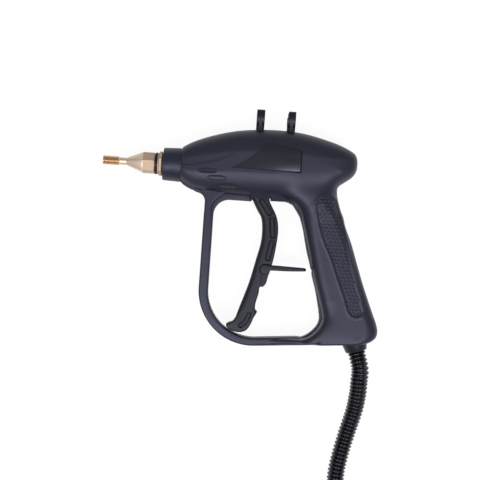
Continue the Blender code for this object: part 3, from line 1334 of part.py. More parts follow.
plastic = make_material("charcoal_plastic", (0.115, 0.112, 0.135), 0.42, 0.0)
brass = make_material("brass", (0.72, 0.60, 0.44), 0.34, 1.0)
steel = make_material("steel", (0.55, 0.55, 0.56), 0.35, 1.0)
rubber = make_material("black_rubber", (0.018, 0.015, 0.018), 0.60, 0.0)
silicone = make_material("clear_silicone", (0.70, 0.68, 0.62), 0.45, 0.0)
wire_skin = make_material("wire_insulation", (0.05, 0.12, 0.40), 0.45, 0.0)
switch_case = make_material("switch_case", (0.03, 0.03, 0.03), 0.5, 0.0)
red_plastic = make_material("switch_plunger", (0.55, 0.04, 0.03), 0.4, 0.0)
hose_skin = make_material("hose_plastic", (0.02, 0.02, 0.024), 0.30, 0.0)

nozzle_tip_u = -HOLDER_HEAD - SEAL_THICKNESS - GAP * 2 - NOZZLE_LENGTH
gun = bpy.data.objects.new("gun_frame", None)
parts.objects.link(gun)
gland_low = gland_point(GLAND_DROP).y - GLAND_END_RADIUS * math.sin(math.radians(GLAND_TILT_DEG))
gun.location = (-(GRIP_REACH + nozzle_tip_u) / 2, -(gland_low + CLIP_TIP_V) / 2, BODY_HALF_WIDTH)

make_shells(casing_solid())
make_screws()
make_trigger()
make_latch()
make_spring()
make_switch()
make_nozzle()
make_holder()
make_steam_tube()
make_wires()
make_clip("front_tube_clip", FRONT_CLIP_U)
make_clip("rear_tube_clip", REAR_CLIP_U)
make_gland()
make_hose()
make_connector()
bpy.context.view_layer.update()
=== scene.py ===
import json
import math

import bmesh
import bpy
from mathutils import Matrix, Vector
from mathutils.bvhtree import BVHTree

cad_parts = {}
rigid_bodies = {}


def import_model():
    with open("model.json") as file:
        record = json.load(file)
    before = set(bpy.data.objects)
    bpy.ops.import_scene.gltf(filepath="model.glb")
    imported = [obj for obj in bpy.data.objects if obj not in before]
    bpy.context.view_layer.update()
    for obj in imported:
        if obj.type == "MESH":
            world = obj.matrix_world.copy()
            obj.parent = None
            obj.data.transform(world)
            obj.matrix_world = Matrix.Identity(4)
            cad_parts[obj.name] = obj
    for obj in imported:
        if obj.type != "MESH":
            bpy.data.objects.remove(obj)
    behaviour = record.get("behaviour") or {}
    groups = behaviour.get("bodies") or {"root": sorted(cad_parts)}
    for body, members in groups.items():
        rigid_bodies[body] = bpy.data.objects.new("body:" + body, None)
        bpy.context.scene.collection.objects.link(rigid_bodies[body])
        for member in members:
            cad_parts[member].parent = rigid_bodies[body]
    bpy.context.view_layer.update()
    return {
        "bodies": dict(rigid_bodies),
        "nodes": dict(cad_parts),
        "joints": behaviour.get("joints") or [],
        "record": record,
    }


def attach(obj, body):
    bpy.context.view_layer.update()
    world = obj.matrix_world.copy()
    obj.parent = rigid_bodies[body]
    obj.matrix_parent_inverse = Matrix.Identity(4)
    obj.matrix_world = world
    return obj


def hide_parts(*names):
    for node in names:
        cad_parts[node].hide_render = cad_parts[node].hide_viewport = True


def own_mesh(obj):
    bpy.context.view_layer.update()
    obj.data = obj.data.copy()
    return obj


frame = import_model()

# Gun millimetres: u runs back from the collar's face, v up to the roof, w out of the left side
gunOrigin = Vector((-0.07285, 0.05152, 0.021))
mm = 0.001
barrel = -0.6    # the barrel's axis lies a little under the nozzle's mount
play = 0.3       # clearance between neighbouring pieces
beyond = 40.0    # past every wall of the gun, across
roundSteps = 96  # faces round the turned pieces and their bores
holeSteps = 32   # and round the screw holes and small bores


def at(u, v, w=0.0):
    return gunOrigin + Vector((u, v, w)) * mm


# Camera

cameraLook = {"mid": (-0.00015, -0.0119, 0.021), "away": 0.95, "width": 0.4272, "roll": 4.0, "sensor": 36.0}


def makeCamera():
    data = bpy.data.cameras.new("photoCamera")
    data.sensor_width = cameraLook["sensor"]
    data.lens = cameraLook["sensor"] * cameraLook["away"] / cameraLook["width"]
    camera = bpy.data.objects.new("photoCamera", data)
    camera.location = Vector(cameraLook["mid"]) + Vector((0, 0, cameraLook["away"]))
    camera.rotation_euler = (0, 0, math.radians(cameraLook["roll"]))
    bpy.context.scene.collection.objects.link(camera)
    bpy.context.scene.camera = camera


makeCamera()
print("camera placed")


# Numbers, curves and outlines

def bentSign(value, power):
    return math.copysign(abs(value) ** power, value)


def ovalPoint(turn, exponent, swell=1.0):
    angle = math.tau * turn
    side = max(-1.0, min(1.0, bentSign(math.sin(angle), 2 / exponent) * swell))
    return bentSign(math.cos(angle), 2 / exponent), side


def easedShare(value, low, high):
    share = min(max((value - low) / (high - low), 0.0), 1.0)
    return share * share * (3 - 2 * share)


def curveStep(a, b, c, d, t):
    # A smooth way from b to c, for numbers and for vectors
    return 0.5 * (2 * b + (c - a) * t + (2 * a - 5 * b + 4 * c - d) * t ** 2 + (3 * b - a - 3 * c + d) * t ** 3)


def smoothThrough(points, steps):
    points = [Vector(p) for p in points]
    padded = [points[0] * 2 - points[1]] + points + [points[-1] * 2 - points[-2]]
    line = []
    for corners in zip(padded, padded[1:], padded[2:], padded[3:]):
        line += [curveStep(*corners, k / steps) for k in range(steps)]
    return line + [points[-1]]


def smoothLine(points, steps=4):
    return [(p.x, p.y) for p in smoothThrough([(u, v, 0) for u, v in points], steps)]


def lineLength(line):
    return sum((b - a).length for a, b in zip(line, line[1:]))


def evenly(points, step):
    lengths = [0.0]
    for a, b in zip(points, points[1:]):
        lengths.append(lengths[-1] + (b - a).length)
    count = max(2, round(lengths[-1] / step))
    line, place = [], 0
    for k in range(count + 1):
        target = lengths[-1] * k / count
        while place < len(lengths) - 2 and lengths[place + 1] < target:
            place += 1
        share = (target - lengths[place]) / max(lengths[place + 1] - lengths[place], 1e-9)
        line.append(points[place].lerp(points[place + 1], min(share, 1.0)))
    return line


def rowAt(table, share):
    # A row between the rows of a table, on a smooth curve
    place = min(max(share, 0.0), 1.0) * (len(table) - 1)
    k = min(int(place), len(table) - 2)
    rows = [table[min(max(j, 0), len(table) - 1)] for j in (k - 1, k, k + 1, k + 2)]
    return [curveStep(*values, place - k) for values in zip(*rows)]


def straightRow(table, value):
    # A row between the rows of a table, straight, found by its first column
    for a, b in zip(table, table[1:]):
        if a[0] <= value <= b[0]:
            share = (value - a[0]) / (b[0] - a[0])
            return [p + (q - p) * share for p, q in zip(a, b)]
    return None


def namedRows(look, rows):
    # Each row names two measures of a piece and how far it stands off from them
    return [(look[a] + off, look[b] + more, *rest) for a, off, b, more, *rest in rows]


def withRounding(points, rounding):
    return [(u, v, rounding) for u, v in points]


def arcPoints(centre, radius, startDeg, endDeg, steps):
    angles = [math.radians(startDeg + (endDeg - startDeg) * k / steps) for k in range(steps + 1)]
    return [(centre[0] + radius * math.cos(a), centre[1] + radius * math.sin(a)) for a in angles]


def ribbon(path, width, square, steps):
    # The outline of a band along a path, with rounded or squarish ends
    points = [Vector(p) for p in path]
    left, right, runs = [], [], []
    for k, point in enumerate(points):
        run = (points[min(k + 1, len(points) - 1)] - points[max(k - 1, 0)]).normalized()
        runs.append(run)
        left.append(point + Vector((-run.y, run.x)) * width / 2)
        right.append(point - Vector((-run.y, run.x)) * width / 2)

    def cap(centre, run):
        ring = []
        for k in range(steps + 1):
            angle = -math.pi / 2 + math.pi * k / steps
            along, across = bentSign(math.cos(angle), 2 / square), bentSign(math.sin(angle), 2 / square)
            ring.append(centre + (run * along + Vector((-run.y, run.x)) * across) * width / 2)
        return ring
    outline = right[1:-1] + cap(points[-1], runs[-1]) + left[1:-1][::-1] + cap(points[0], -runs[0])
    return [(p.x, p.y) for p in outline]


# Shapes, all given in gun millimetres

def sheetOver(shape, along, around, place, closed=True, caps=True):
    # A grid bent over a surface: place(share along, share round) gives each point
    made = bmesh.ops.create_grid(shape, x_segments=along, y_segments=around, size=1.0)["verts"]
    for vert in made:
        vert.co = place((vert.co.x + 1) / 2, (vert.co.y + 1) / 2)
    if closed:
        bmesh.ops.remove_doubles(shape, verts=made, dist=1e-6)
    if closed and caps:
        bmesh.ops.holes_fill(shape, edges=[e for e in shape.edges if e.is_boundary], sides=0)
    return made


def ringSheet(shape, rings, side):
    # Rings of points skinned over, on the left side or mirrored to the right
    def place(share, turn):
        u, v, w = rings[round(share * (len(rings) - 1))][round(turn * len(rings[0])) % len(rings[0])]
        return at(u, v, side * w)
    sheetOver(shape, len(rings) - 1, len(rings[0]), place)


def boxShape(shape, low, high):
    low, high = at(*low), at(*high)
    for vert in bmesh.ops.create_cube(shape, size=1.0)["verts"]:
        for k in range(3):
            vert.co[k] = (low[k] + high[k]) / 2 + vert.co[k] * (high[k] - low[k])


def rodShape(shape, start, end, radius, segments=48):
    start, end = at(*start), at(*end)
    turn = (end - start).to_track_quat("Z", "Y").to_matrix().to_4x4()
    turn.translation = (start + end) / 2
    bmesh.ops.create_cone(shape, cap_ends=True, segments=segments, radius1=radius * mm, radius2=radius * mm,
                          depth=(end - start).length, matrix=turn)


def crossRod(shape, place, low, high, radius, segments=48):
    rodShape(shape, (*place, low), (*place, high), radius, segments)


def turnedShape(shape, start, direction, profile, steps=64):
    # The profile of (radius, distance) is spun round the axis
    made = [shape.verts.new((radius * mm, 0.0, distance * mm)) for radius, distance in profile]
    edges = [shape.edges.new(pair) for pair in zip(made, made[1:])]
    if profile[0][0] > 0 and profile[-1][0] > 0:
        edges.append(shape.edges.new((made[-1], made[0])))
    before = set(shape.verts) - set(made)
    bmesh.ops.spin(shape, geom=made + edges, cent=(0, 0, 0), axis=(0, 0, 1), dvec=(0, 0, 0),
                   angle=math.tau, steps=steps, use_merge=True)
    bmesh.ops.remove_doubles(shape, verts=[v for v in shape.verts if v not in before], dist=1e-7)
    turn = Vector(direction).to_track_quat("Z", "Y").to_matrix().to_4x4()
    turn.translation = at(*start)
    bmesh.ops.transform(shape, matrix=turn, verts=[v for v in shape.verts if v not in before])


def roundedPlate(shape, outline, low, high, steps=4, frame=at):
    # Outline points are (across, up, rounding); both rims are rounded by their own amount
    count = len(outline)
    area = sum(a[0] * b[1] - b[0] * a[1] for a, b in zip(outline, outline[1:] + outline[:1]))
    inward = []
    for k in range(count):
        run = (Vector(outline[(k + 1) % count][:2]) - Vector(outline[k - 1][:2])).normalized()
        inward.append(Vector((-run.y, run.x)) * math.copysign(1.0, area))

    def place(share, turn):
        row = round(share * (steps * 2 + 1))
        k = round(turn * count) % count
        across, up, rounding = outline[k]
        angle = math.pi / 2 * (row if row <= steps else steps * 2 + 1 - row) / steps
        lift = rounding * (1 - math.cos(angle))
        point = Vector((across, up)) + inward[k] * rounding * (1 - math.sin(angle))
        return frame(point.x, point.y, low + lift if row <= steps else high - lift)
    sheetOver(shape, steps * 2 + 1, count, place)


def hexTurned(shape, rows, turnDeg, around=roundSteps, thread=None, corner=0.985):
    # Rows are (u, radius, share of hexagon) along the barrel; the last row closes onto the first.
    # The hexagon's corners are turned off to a share of its full reach
    def place(share, turn):
        u, radius, six = rows[round(share * (len(rows) - 1))]
        angle = math.tau * turn
        offset = (angle % (math.pi / 3)) - math.pi / 6
        flat = min(math.cos(math.pi / 6) / math.cos(offset), corner)
        reach = radius * (1 - six + six * flat)
        if thread and thread["start"] < u < thread["end"] and radius > thread["above"]:
            phase = ((u - thread["start"]) / thread["pitch"] + turn) % 1.0
            ease = min(1.0, (u - thread["start"]) / thread["ease"], (thread["end"] - u) / thread["ease"])
            reach -= thread["depth"] * (0.5 + 0.5 * math.cos(math.tau * phase)) * ease
        turned = angle + math.radians(turnDeg)
        return at(u, barrel + reach * math.cos(turned), reach * math.sin(turned))
    sheetOver(shape, len(rows) - 1, around, place, True, False)


def tubeShape(shape, line, radii, around, lift=None):
    # A tube round a line of points, its rings carried along without twist
    headings = [(line[min(k + 1, len(line) - 1)] - line[max(k - 1, 0)]).normalized() for k in range(len(line))]
    side = headings[0].orthogonal().normalized() if lift is None else Vector(lift)
    sides = []
    for heading in headings:
        side = (side - heading * side.dot(heading)).normalized()
        sides.append(side)

    def place(share, turn):
        k = round(share * (len(line) - 1))
        other = headings[k].cross(sides[k])
        angle = turn * math.tau
        return line[k] + (sides[k] * math.cos(angle) + other * math.sin(angle)) * radii[k]
    sheetOver(shape, len(line) - 1, around, place)


# Objects, and cuts between them

def newObject(name, shape):
    bmesh.ops.recalc_face_normals(shape, faces=shape.faces)
    mesh = bpy.data.meshes.new(name)
    shape.to_mesh(mesh)
    shape.free()
    item = bpy.data.objects.new(name, mesh)
    bpy.context.scene.collection.objects.link(item)
    return item


def oneMesh(name, *makers):
    # Each maker is (function, its values after the shape)
    shape = bmesh.new()
    for make, *values in makers:
        make(shape, *values)
    return newObject(name, shape)


def applied(item):
    bpy.context.view_layer.update()
    graph = bpy.context.evaluated_depsgraph_get()
    mesh = bpy.data.meshes.new_from_object(item.evaluated_get(graph))
    item.modifiers.clear()
    item.data = mesh


def carve(item, tool, operation="DIFFERENCE"):
    step = item.modifiers.new(operation, "BOOLEAN")
    step.operation = operation
    step.solver = "MANIFOLD"
    step.object = tool
    applied(item)
    bpy.data.objects.remove(tool)
    return item


def cut(item, name, *makers):
    return carve(item, oneMesh(name, *makers))


def gathered(name, *makers):
    # Closed shapes made one by one and united
    whole = oneMesh(name, makers[0])
    for maker in makers[1:]:
        carve(whole, oneMesh(name, maker), "UNION")
    return whole


def outfit(item, name, finish, *stands, body="casing", slot="charcoal_plastic", smooth=30):
    item.name = name
    item.data.name = name
    item.data.materials.clear()
    item.data.materials.append(finishes[finish])
    item.data.shade_smooth()
    item.data.set_sharp_from_angle(angle=math.radians(smooth))
    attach(item, body)
    if stands:
        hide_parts(*stands)


# Materials

def makeGroup(name, inputs, outputs):
    group = bpy.data.node_groups.new(name, "ShaderNodeTree")
    for label, kind, value in inputs:
        socket = group.interface.new_socket(name=label, in_out="INPUT", socket_type=kind)
        socket.default_value = value
    for label, kind in outputs:
        group.interface.new_socket(name=label, in_out="OUTPUT", socket_type=kind)
    return group, group.nodes.new("NodeGroupInput"), group.nodes.new("NodeGroupOutput")


def fillInputs(tree, node, inputs):
    # A socket is linked, and anything else is set as the value
    for key, value in inputs.items():
        if hasattr(value, "is_linked"):
            tree.links.new(value, node.inputs[key])
        else:
            node.inputs[key].default_value = value


def addNode(tree, kind, inputs=None, **settings):
    node = tree.nodes.new(kind)
    for key, value in settings.items():
        setattr(node, key, value)
    fillInputs(tree, node, inputs or {})
    return node


grainLook = {"cloudScale": 38.0, "middle": (0.3, 0.7), "cloudTone": (0.93, 1.07), "speckTone": (0.94, 1.06),
             "depth": 0.00004}


def makeGrainGroup():
    # Spark-eroded mould grain, with faint clouds of tone, all in object space
    group, given, out = makeGroup("mouldGrain", [
        ("Vector", "NodeSocketVector", (0, 0, 0)), ("Scale", "NodeSocketFloat", 2600.0),
        ("Tint", "NodeSocketColor", (0.03, 0.03, 0.04, 1)), ("Shift", "NodeSocketFloat", 0.1),
        ("Roughness", "NodeSocketFloat", 0.4)],
        [("Color", "NodeSocketColor"), ("Roughness", "NodeSocketFloat"), ("Height", "NodeSocketFloat")])
    given = given.outputs
    noises, tones = [], []
    for scale, detail, tone in ((given["Scale"], 2.0, "speckTone"), (grainLook["cloudScale"], 3.0, "cloudTone")):
        noise = addNode(group, "ShaderNodeTexNoise", {"Vector": given["Vector"], "Scale": scale, "Detail": detail})
        noises.append(noise.outputs["Fac"])
        low, high = grainLook["middle"]
        tones.append(addNode(group, "ShaderNodeMapRange", {
            "Value": noises[-1], "From Min": low, "From Max": high,
            "To Min": grainLook[tone][0], "To Max": grainLook[tone][1]}).outputs[0])
    fine, cloud = noises
    both = addNode(group, "ShaderNodeMath", {0: tones[1], 1: tones[0]}, operation="MULTIPLY")
    color = addNode(group, "ShaderNodeVectorMath", {0: given["Tint"], "Scale": both.outputs[0]}, operation="SCALE")
    spread = addNode(group, "ShaderNodeMath", {0: cloud, 1: 0.5}, operation="SUBTRACT")
    rough = addNode(group, "ShaderNodeMath", {0: spread.outputs[0], 1: given["Shift"], 2: given["Roughness"]},
                    operation="MULTIPLY_ADD")
    fillInputs(group, out, {"Color": color.outputs[0], "Roughness": rough.outputs[0], "Height": fine})
    return group


grainGroup = makeGrainGroup()


def newMaterial(name):
    material = bpy.data.materials.new(name)
    material.use_nodes = True
    return material, material.node_tree, material.node_tree.nodes["Principled BSDF"]


def grainMaterial(name, color, roughness, shift=0.1, scale=2600.0, bump=0.25, specular=0.5, metallic=0.0,
                  tint=(0.80, 0.81, 1.0)):
    material, tree, shader = newMaterial(name)
    where = addNode(tree, "ShaderNodeTexCoord")
    grain = addNode(tree, "ShaderNodeGroup", {
        "Vector": where.outputs["Object"], "Scale": scale, "Tint": (*color, 1), "Shift": shift,
        "Roughness": roughness}, node_tree=grainGroup).outputs
    lift = addNode(tree, "ShaderNodeBump", {
        "Strength": bump, "Distance": grainLook["depth"], "Height": grain["Height"]})
    fillInputs(tree, shader, {
        "Base Color": grain["Color"], "Roughness": grain["Roughness"], "Normal": lift.outputs["Normal"],
        "Specular IOR Level": specular, "Metallic": metallic})
    if not metallic:
        shader.inputs["Specular Tint"].default_value = (*tint, 1)
    material.diffuse_color = (*color, 1)
    return material


brassLook = {"shift": 0.12, "scale": 1400.0, "bump": 0.12, "metallic": 1.0}
finishLooks = {    # colour, roughness, and what differs from plain moulded plastic
    "charcoalPlastic": ((0.0080, 0.0086, 0.0165), 0.45, {"specular": 0.63, "tint": (0.73, 0.735, 0.99)}),
    "panelPlastic": ((0.0080, 0.0100, 0.0175), 0.42, {"specular": 0.62, "tint": (0.74, 0.77, 1.0)}),
    "badgePlastic": ((0.0075, 0.0085, 0.0130), 0.24, {"bump": 0.08, "specular": 0.60}),
    "leverPlastic": ((0.0080, 0.0078, 0.0105), 0.47, {"scale": 1500.0, "bump": 0.4, "specular": 0.44}),
    "clipPlastic": ((0.0050, 0.0050, 0.0080), 0.40, {"specular": 0.42}),
    "sealRubber": ((0.006, 0.005, 0.006), 0.50, {"scale": 1800.0, "specular": 0.3}),
    "hosePlastic": ((0.0020, 0.0020, 0.0030), 0.12, {"shift": 0.05, "scale": 900.0, "bump": 0.05, "specular": 0.62}),
    "brassMetal": ((0.58, 0.45, 0.35), 0.66, brassLook),
    # Neck and cone: the same brass, smoother, and painted lighter than the hex as a painted sheen
    "coneBrassPaintedSheen": ((0.74, 0.60, 0.48), 0.42, brassLook),
    "threadBrass": ((0.60, 0.40, 0.23), 0.32, {**brassLook, "shift": 0.15}),
    "zincSteel": ((0.45, 0.45, 0.46), 0.30, {"metallic": 1.0}),
    "siliconeTube": ((0.52, 0.50, 0.46), 0.42, {}),
    "wireBlue": ((0.03, 0.08, 0.30), 0.40, {}),
    "switchBlack": ((0.012, 0.012, 0.012), 0.45, {}),
    "plungerRed": ((0.42, 0.03, 0.02), 0.35, {}),
}
finishes = {name: grainMaterial(name, color, roughness, **rest)
            for name, (color, roughness, rest) in finishLooks.items()}
print("materials made")


# Hose: one ribbed line from the gland to the connector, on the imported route

hoseLook = {"radius": 7.9, "groove": 1.45, "sharpness": 1.35, "pitch": 3.44, "run": (8, 32), "coil": (4, 14),
            "smooth": 60, "join": 60.0, "fine": 0.0008}
gland = {"u": 180.8, "v": -148.0, "tilt": 16.0, "drop": 7.1}
coilLook = {"entryU": 173.0, "v": -402.0, "radius": 104.0, "pitch": 16.6, "layer": 16.4, "level": -12.8,
            "entryTurns": 1.875, "climbTurns": 0.5, "turns": 4.25, "perTurn": 24}
connectorAt = (-32.0, -503.5, -7.7)
hoseRoute = [
    (187.3, -182.0, -1.8), (187.2, -193.0, -4.2), (185.4, -209.5, -8.3), (180.2, -231.5, -11.7),
    (175.4, -254.0, -12.7), (173.4, -271.0, -12.8), (172.9, -300.0, -12.8), (173.0, -340.0, -12.8),
]
tailRoute = [(38.0, -505.9, 3.5), (20.0, -505.5, 1.2), (4.0, -504.5, -3.8)]


def glandAxis():
    tilt = math.radians(gland["tilt"])
    return Vector((math.sin(tilt), -math.cos(tilt), 0.0))


def glandPoint(distance):
    return Vector((gland["u"], gland["v"], 0.0)) + glandAxis() * distance


def coilLine():
    # The loops spiral in on the lower layer, climb where the spiral turns, and spiral out on the upper one
    look = coilLook
    centre = Vector((look["entryU"] - look["radius"], look["v"], 0.0))
    turning = look["entryTurns"] + look["climbTurns"] / 2
    count = round(look["turns"] * look["perTurn"])
    points = []
    for k in range(count + 1):
        turns = look["turns"] * k / count
        radius = look["radius"] - look["pitch"] * (turning - abs(turns - turning))
        climbed = easedShare(turns, look["entryTurns"], look["entryTurns"] + look["climbTurns"])
        angle = -math.tau * turns
        points.append(centre + Vector((radius * math.cos(angle), radius * math.sin(angle),
                                       look["level"] + look["layer"] * climbed)))
    return points


def hoseLine():
    # The same points as the solids' route: gland, run, coil and tail
    width = hoseLook["radius"] * 2
    start = gland["drop"] + play
    run = [glandPoint(start), glandPoint(start + width)] + hoseRoute
    run.append((coilLook["entryU"], coilLook["v"] + width * 2 + play, coilLook["level"]))
    coil = coilLine()
    end = Vector(connectorAt) + Vector((play, 0, 0))
    tail = [coil[-1] + Vector((-width, 0, 0))] + tailRoute
    return run + coil + tail + [end + Vector((hoseLook["radius"] * k, 0, 0)) for k in (3, 2, 1, 0)]


def ribbedTube(shape, line, steps, around):
    # Rings of a rounded rib and a narrow groove, worked out along an evenly spaced line
    look = hoseLook
    length = lineLength(line)
    fine = evenly(line, length / (round(length / (look["pitch"] * mm)) * steps))
    depths = [(0.5 + 0.5 * math.cos(math.tau * (k % steps) / steps)) ** look["sharpness"] for k in range(len(fine))]
    tubeShape(shape, fine, [(look["radius"] - look["groove"] * depth) * mm for depth in depths], around, (0, 0, 1))


def makeHose():
    line = evenly([at(*p) for p in smoothThrough(hoseLine(), 8)], hoseLook["fine"])
    coilStart = at(coilLook["entryU"], coilLook["v"] + hoseLook["join"], coilLook["level"])
    split = min(range(len(line)), key=lambda k: (line[k] - coilStart).length)
    hose = oneMesh("hose", (ribbedTube, line[:split + 1], *hoseLook["run"]),
                   (ribbedTube, line[split:], *hoseLook["coil"]))
    outfit(hose, "hose", "hosePlastic", "hose_run", "hose_coil", "hose_tail", slot="hose_plastic",
           smooth=hoseLook["smooth"])
    return hose, line, lineLength(line)


hose, hosePath, hoseLength = makeHose()
print("hose made, length %.3f m" % hoseLength)


# Casing. Rows of the body: place along, roof, belly and half width, as shares
bodyTable = [
    (0.095, 0.423, 0.574, 0.724), (0.116, 0.491, 0.692, 0.771), (0.145, 0.568, 0.796, 0.819),
    (0.186, 0.657, 0.880, 0.876), (0.244, 0.756, 0.938, 0.943), (0.320, 0.862, 0.976, 0.990),
    (0.407, 0.945, 0.992, 1.000), (0.523, 0.994, 1.000, 1.000), (0.610, 1.000, 1.000, 1.000),
    (0.698, 0.972, 0.976, 1.000), (0.767, 0.915, 0.903, 0.990), (0.831, 0.840, 0.758, 0.962),
    (0.884, 0.769, 0.556, 0.905), (0.930, 0.686, 0.306, 0.810), (0.965, 0.606, 0.129, 0.681),
    (0.985, 0.537, -0.012, 0.533), (0.9965, 0.435, -0.161, 0.333), (1.000, 0.330, -0.302, 0.143),
]
# Rows of the grip: front and rear edge across and down, half width, how far its front skin stands back from the
# thin rim along the parting line, and the roundness, round at the top and flat further down
gripTable = [
    (0.521, 0.041, 0.762, 0.027, 0.900, 0, 2.2), (0.506, 0.122, 0.780, 0.085, 0.930, 0, 2.2),
    (0.541, 0.170, 0.783, 0.125, 0.935, 0.2, 2.2), (0.574, 0.187, 0.792, 0.169, 0.920, 0.4, 2.2),
    (0.599, 0.211, 0.803, 0.213, 0.895, 0.6, 2.4), (0.619, 0.250, 0.816, 0.252, 0.868, 0.8, 2.7),
    (0.632, 0.308, 0.828, 0.308, 0.833, 0.9, 3.1), (0.654, 0.412, 0.859, 0.406, 0.810, 0.9, 3.6),
    (0.676, 0.521, 0.889, 0.521, 0.810, 0.9, 3.8), (0.698, 0.636, 0.920, 0.636, 0.819, 1.0, 3.8),
    (0.720, 0.734, 0.949, 0.734, 0.832, 1.2, 3.8), (0.735, 0.815, 0.974, 0.815, 0.850, 1.5, 3.8),
    (0.741, 0.869, 0.992, 0.872, 0.868, 1.8, 3.8), (0.732, 0.916, 1.000, 0.916, 0.882, 2.4, 3.8),
    (0.706, 0.955, 0.996, 0.951, 0.892, 5.0, 3.8), (0.674, 0.980, 0.981, 0.975, 0.898, 9.0, 3.8),
    (0.652, 1.007, 0.964, 0.988, 0.890, 12.0, 3.8), (0.657, 1.030, 0.951, 0.997, 0.850, 12.0, 3.8),
]
casing = {"length": 172.0, "roof": 36.1, "belly": 24.8, "half": 21.0, "exponent": 2.35, "swell": 1.03,
          "reach": 199.5, "drop": 147.9, "wall": 2.5, "seam": 0.3, "coreGrid": (60, 64), "bodyCore": (2, 14),
          "gripCore": (1, 14), "smooth": 35, "low": (-40, -260), "high": (260, 100), "out": 60}
# Blends: reach, rounds of smoothing, least distance from the parting line, and how many skins take part
blendLook = {"grids": ((120, 128), (120, 128), (100, 96)), "voxel": 0.6, "quickVoxel": 1.2, "quickShare": 4,
             "blends": ((6.0, 80, 0.0, 2), (12.0, 200, 7.0, 3)), "from": 88.0,
             "low": -160.6, "rise": 0.0787, "lastRounds": 3, "strength": 0.5}
collar = {"axis": 0.0, "face": 0.0, "length": 15.8, "front": 14.45, "rear": 15.1, "rows": [
    ("axis", 0, "face", 0), ("front", -0.6, "face", 0), ("front", -0.15, "face", 0.25), ("front", 0, "face", 0.6),
    ("rear", -0.05, "length", -0.5), ("rear", -0.3, "length", -0.1), ("rear", -0.3, "length", 0.6),
    ("rear", -1.0, "length", 4.0), ("axis", 0, "length", 4.0)]}
guard = {"front": 39.15, "bar": 8.3, "bottom": 155.9, "base": 7.0, "corner": 48.5, "rise": 4.5, "half": 9.2,
         "rounding": 1.6, "flange": 28.4, "throat": 14.0, "end": 171.2, "endThick": 4.0, "rimHalf": 6.0,
         "rimRounding": 0.9, "noseRise": 1.25, "top": -17.0, "steps": 64,
         "noseArc": (88, 0, 16), "throatArc": (180, 92, 20),
         "heel": [(146.0, -146.9), (139.0, -146.6), (133.0, -145.8), (127.5, -145.6)]}
noseLine = [(31.0, -13.5), (32.5, -17.9), (35.6, -20.8), (38.1, -24.6), (39.5, -29.5), (39.5, -34.5), (39.15, -42)]
throatLine = [(47.45, -56), (47.2, -50), (46.5, -42), (45.9, -37), (47.5, -32), (51.0, -27.6), (56.5, -23.6),
              (60.5, -18.5), (61.0, -13.5)]
bellyLine = [(22.0, -12.0), (15.9, -12.0), (15.9, -15.0), (18.0, -17.1), (20.0, -18.5), (22.5, -19.9), (25.0, -21.0),
             (28.0, -22.0)]
triggerSlot = {"low": (80.1, -60.0), "high": (106.7, -13.5), "half": 8.0}
slotSkirt = {"inner": 8.3, "edge": 0.6, "slope": 0.6, "bottom": -27.0, "rounding": 0.3, "outlines": (
    [(97.4, -17.9), (97.4, -26.7), (110.1, -26.6), (113.2, -27.2), (115.9, -28.4), (118.7, -29.5), (120.4, -17.9)],
    [(79.3, -17.0), (79.3, -27.9), (80.4, -28.2), (81.4, -26.0), (94.8, -25.7), (95.5, -24.6), (97.0, -24.5),
     (97.8, -26.0), (99.5, -17.9)])}
gripRim = {"half": 5.0, "rounding": 0.7, "front": [
    (108.0, -26.2), (110.1, -26.5), (113.4, -27.0), (116.2, -28.4), (118.6, -31.0), (121.6, -35.3), (124.6, -40.2),
    (128.0, -50.5), (130.5, -61.0), (133.2, -71.5), (136.5, -82.0), (139.2, -92.5), (142.5, -103.0), (145.1, -113.5),
    (147.3, -124.1), (147.6, -129.6), (145.7, -134.9), (141.0, -140.4), (135.0, -144.6), (126.0, -147.6)],
    "back": [(126.0, -151.0), (140.0, -148.0), (150.0, -140.0), (153.0, -130.0), (150.0, -113.0), (141.0, -82.0),
             (134.0, -55.0), (128.0, -38.0), (118.0, -22.0), (108.0, -20.0)]}
notch = {"low": (134.0, -88.0), "high": (139.5, -84.6), "half": 8.0}


def bodySkin(inset=0.0, low=0.0, high=1.0):
    def place(share, turn):
        row = rowAt(bodyTable, low + (high - low) * share)
        roof, belly = row[1] * casing["roof"] - inset, -row[2] * casing["belly"] + inset
        up, side = ovalPoint(turn, casing["exponent"], casing["swell"])
        return at(row[0] * casing["length"], (roof + belly) / 2 + up * (roof - belly) / 2,
                  side * (row[3] * casing["half"] - inset))
    return place


def gripSkin(inset=0.0, low=0.0, high=1.0):
    def place(share, turn):
        row = rowAt(gripTable, low + (high - low) * share)
        front = Vector((row[0] * casing["reach"], -row[1] * casing["drop"]))
        rear = Vector((row[2] * casing["reach"], -row[3] * casing["drop"]))
        front += (rear - front).normalized() * row[5]
        half = (rear - front) / 2
        half -= half.normalized() * inset
        up, side = ovalPoint(turn, row[6], casing["swell"])
        point = (front + rear) / 2 + half * up
        return at(point.x, point.y, side * (row[4] * casing["half"] - inset))
    return place


def coreShares(rows):
    return [row / (len(bodyTable) - 1) for row in rows]


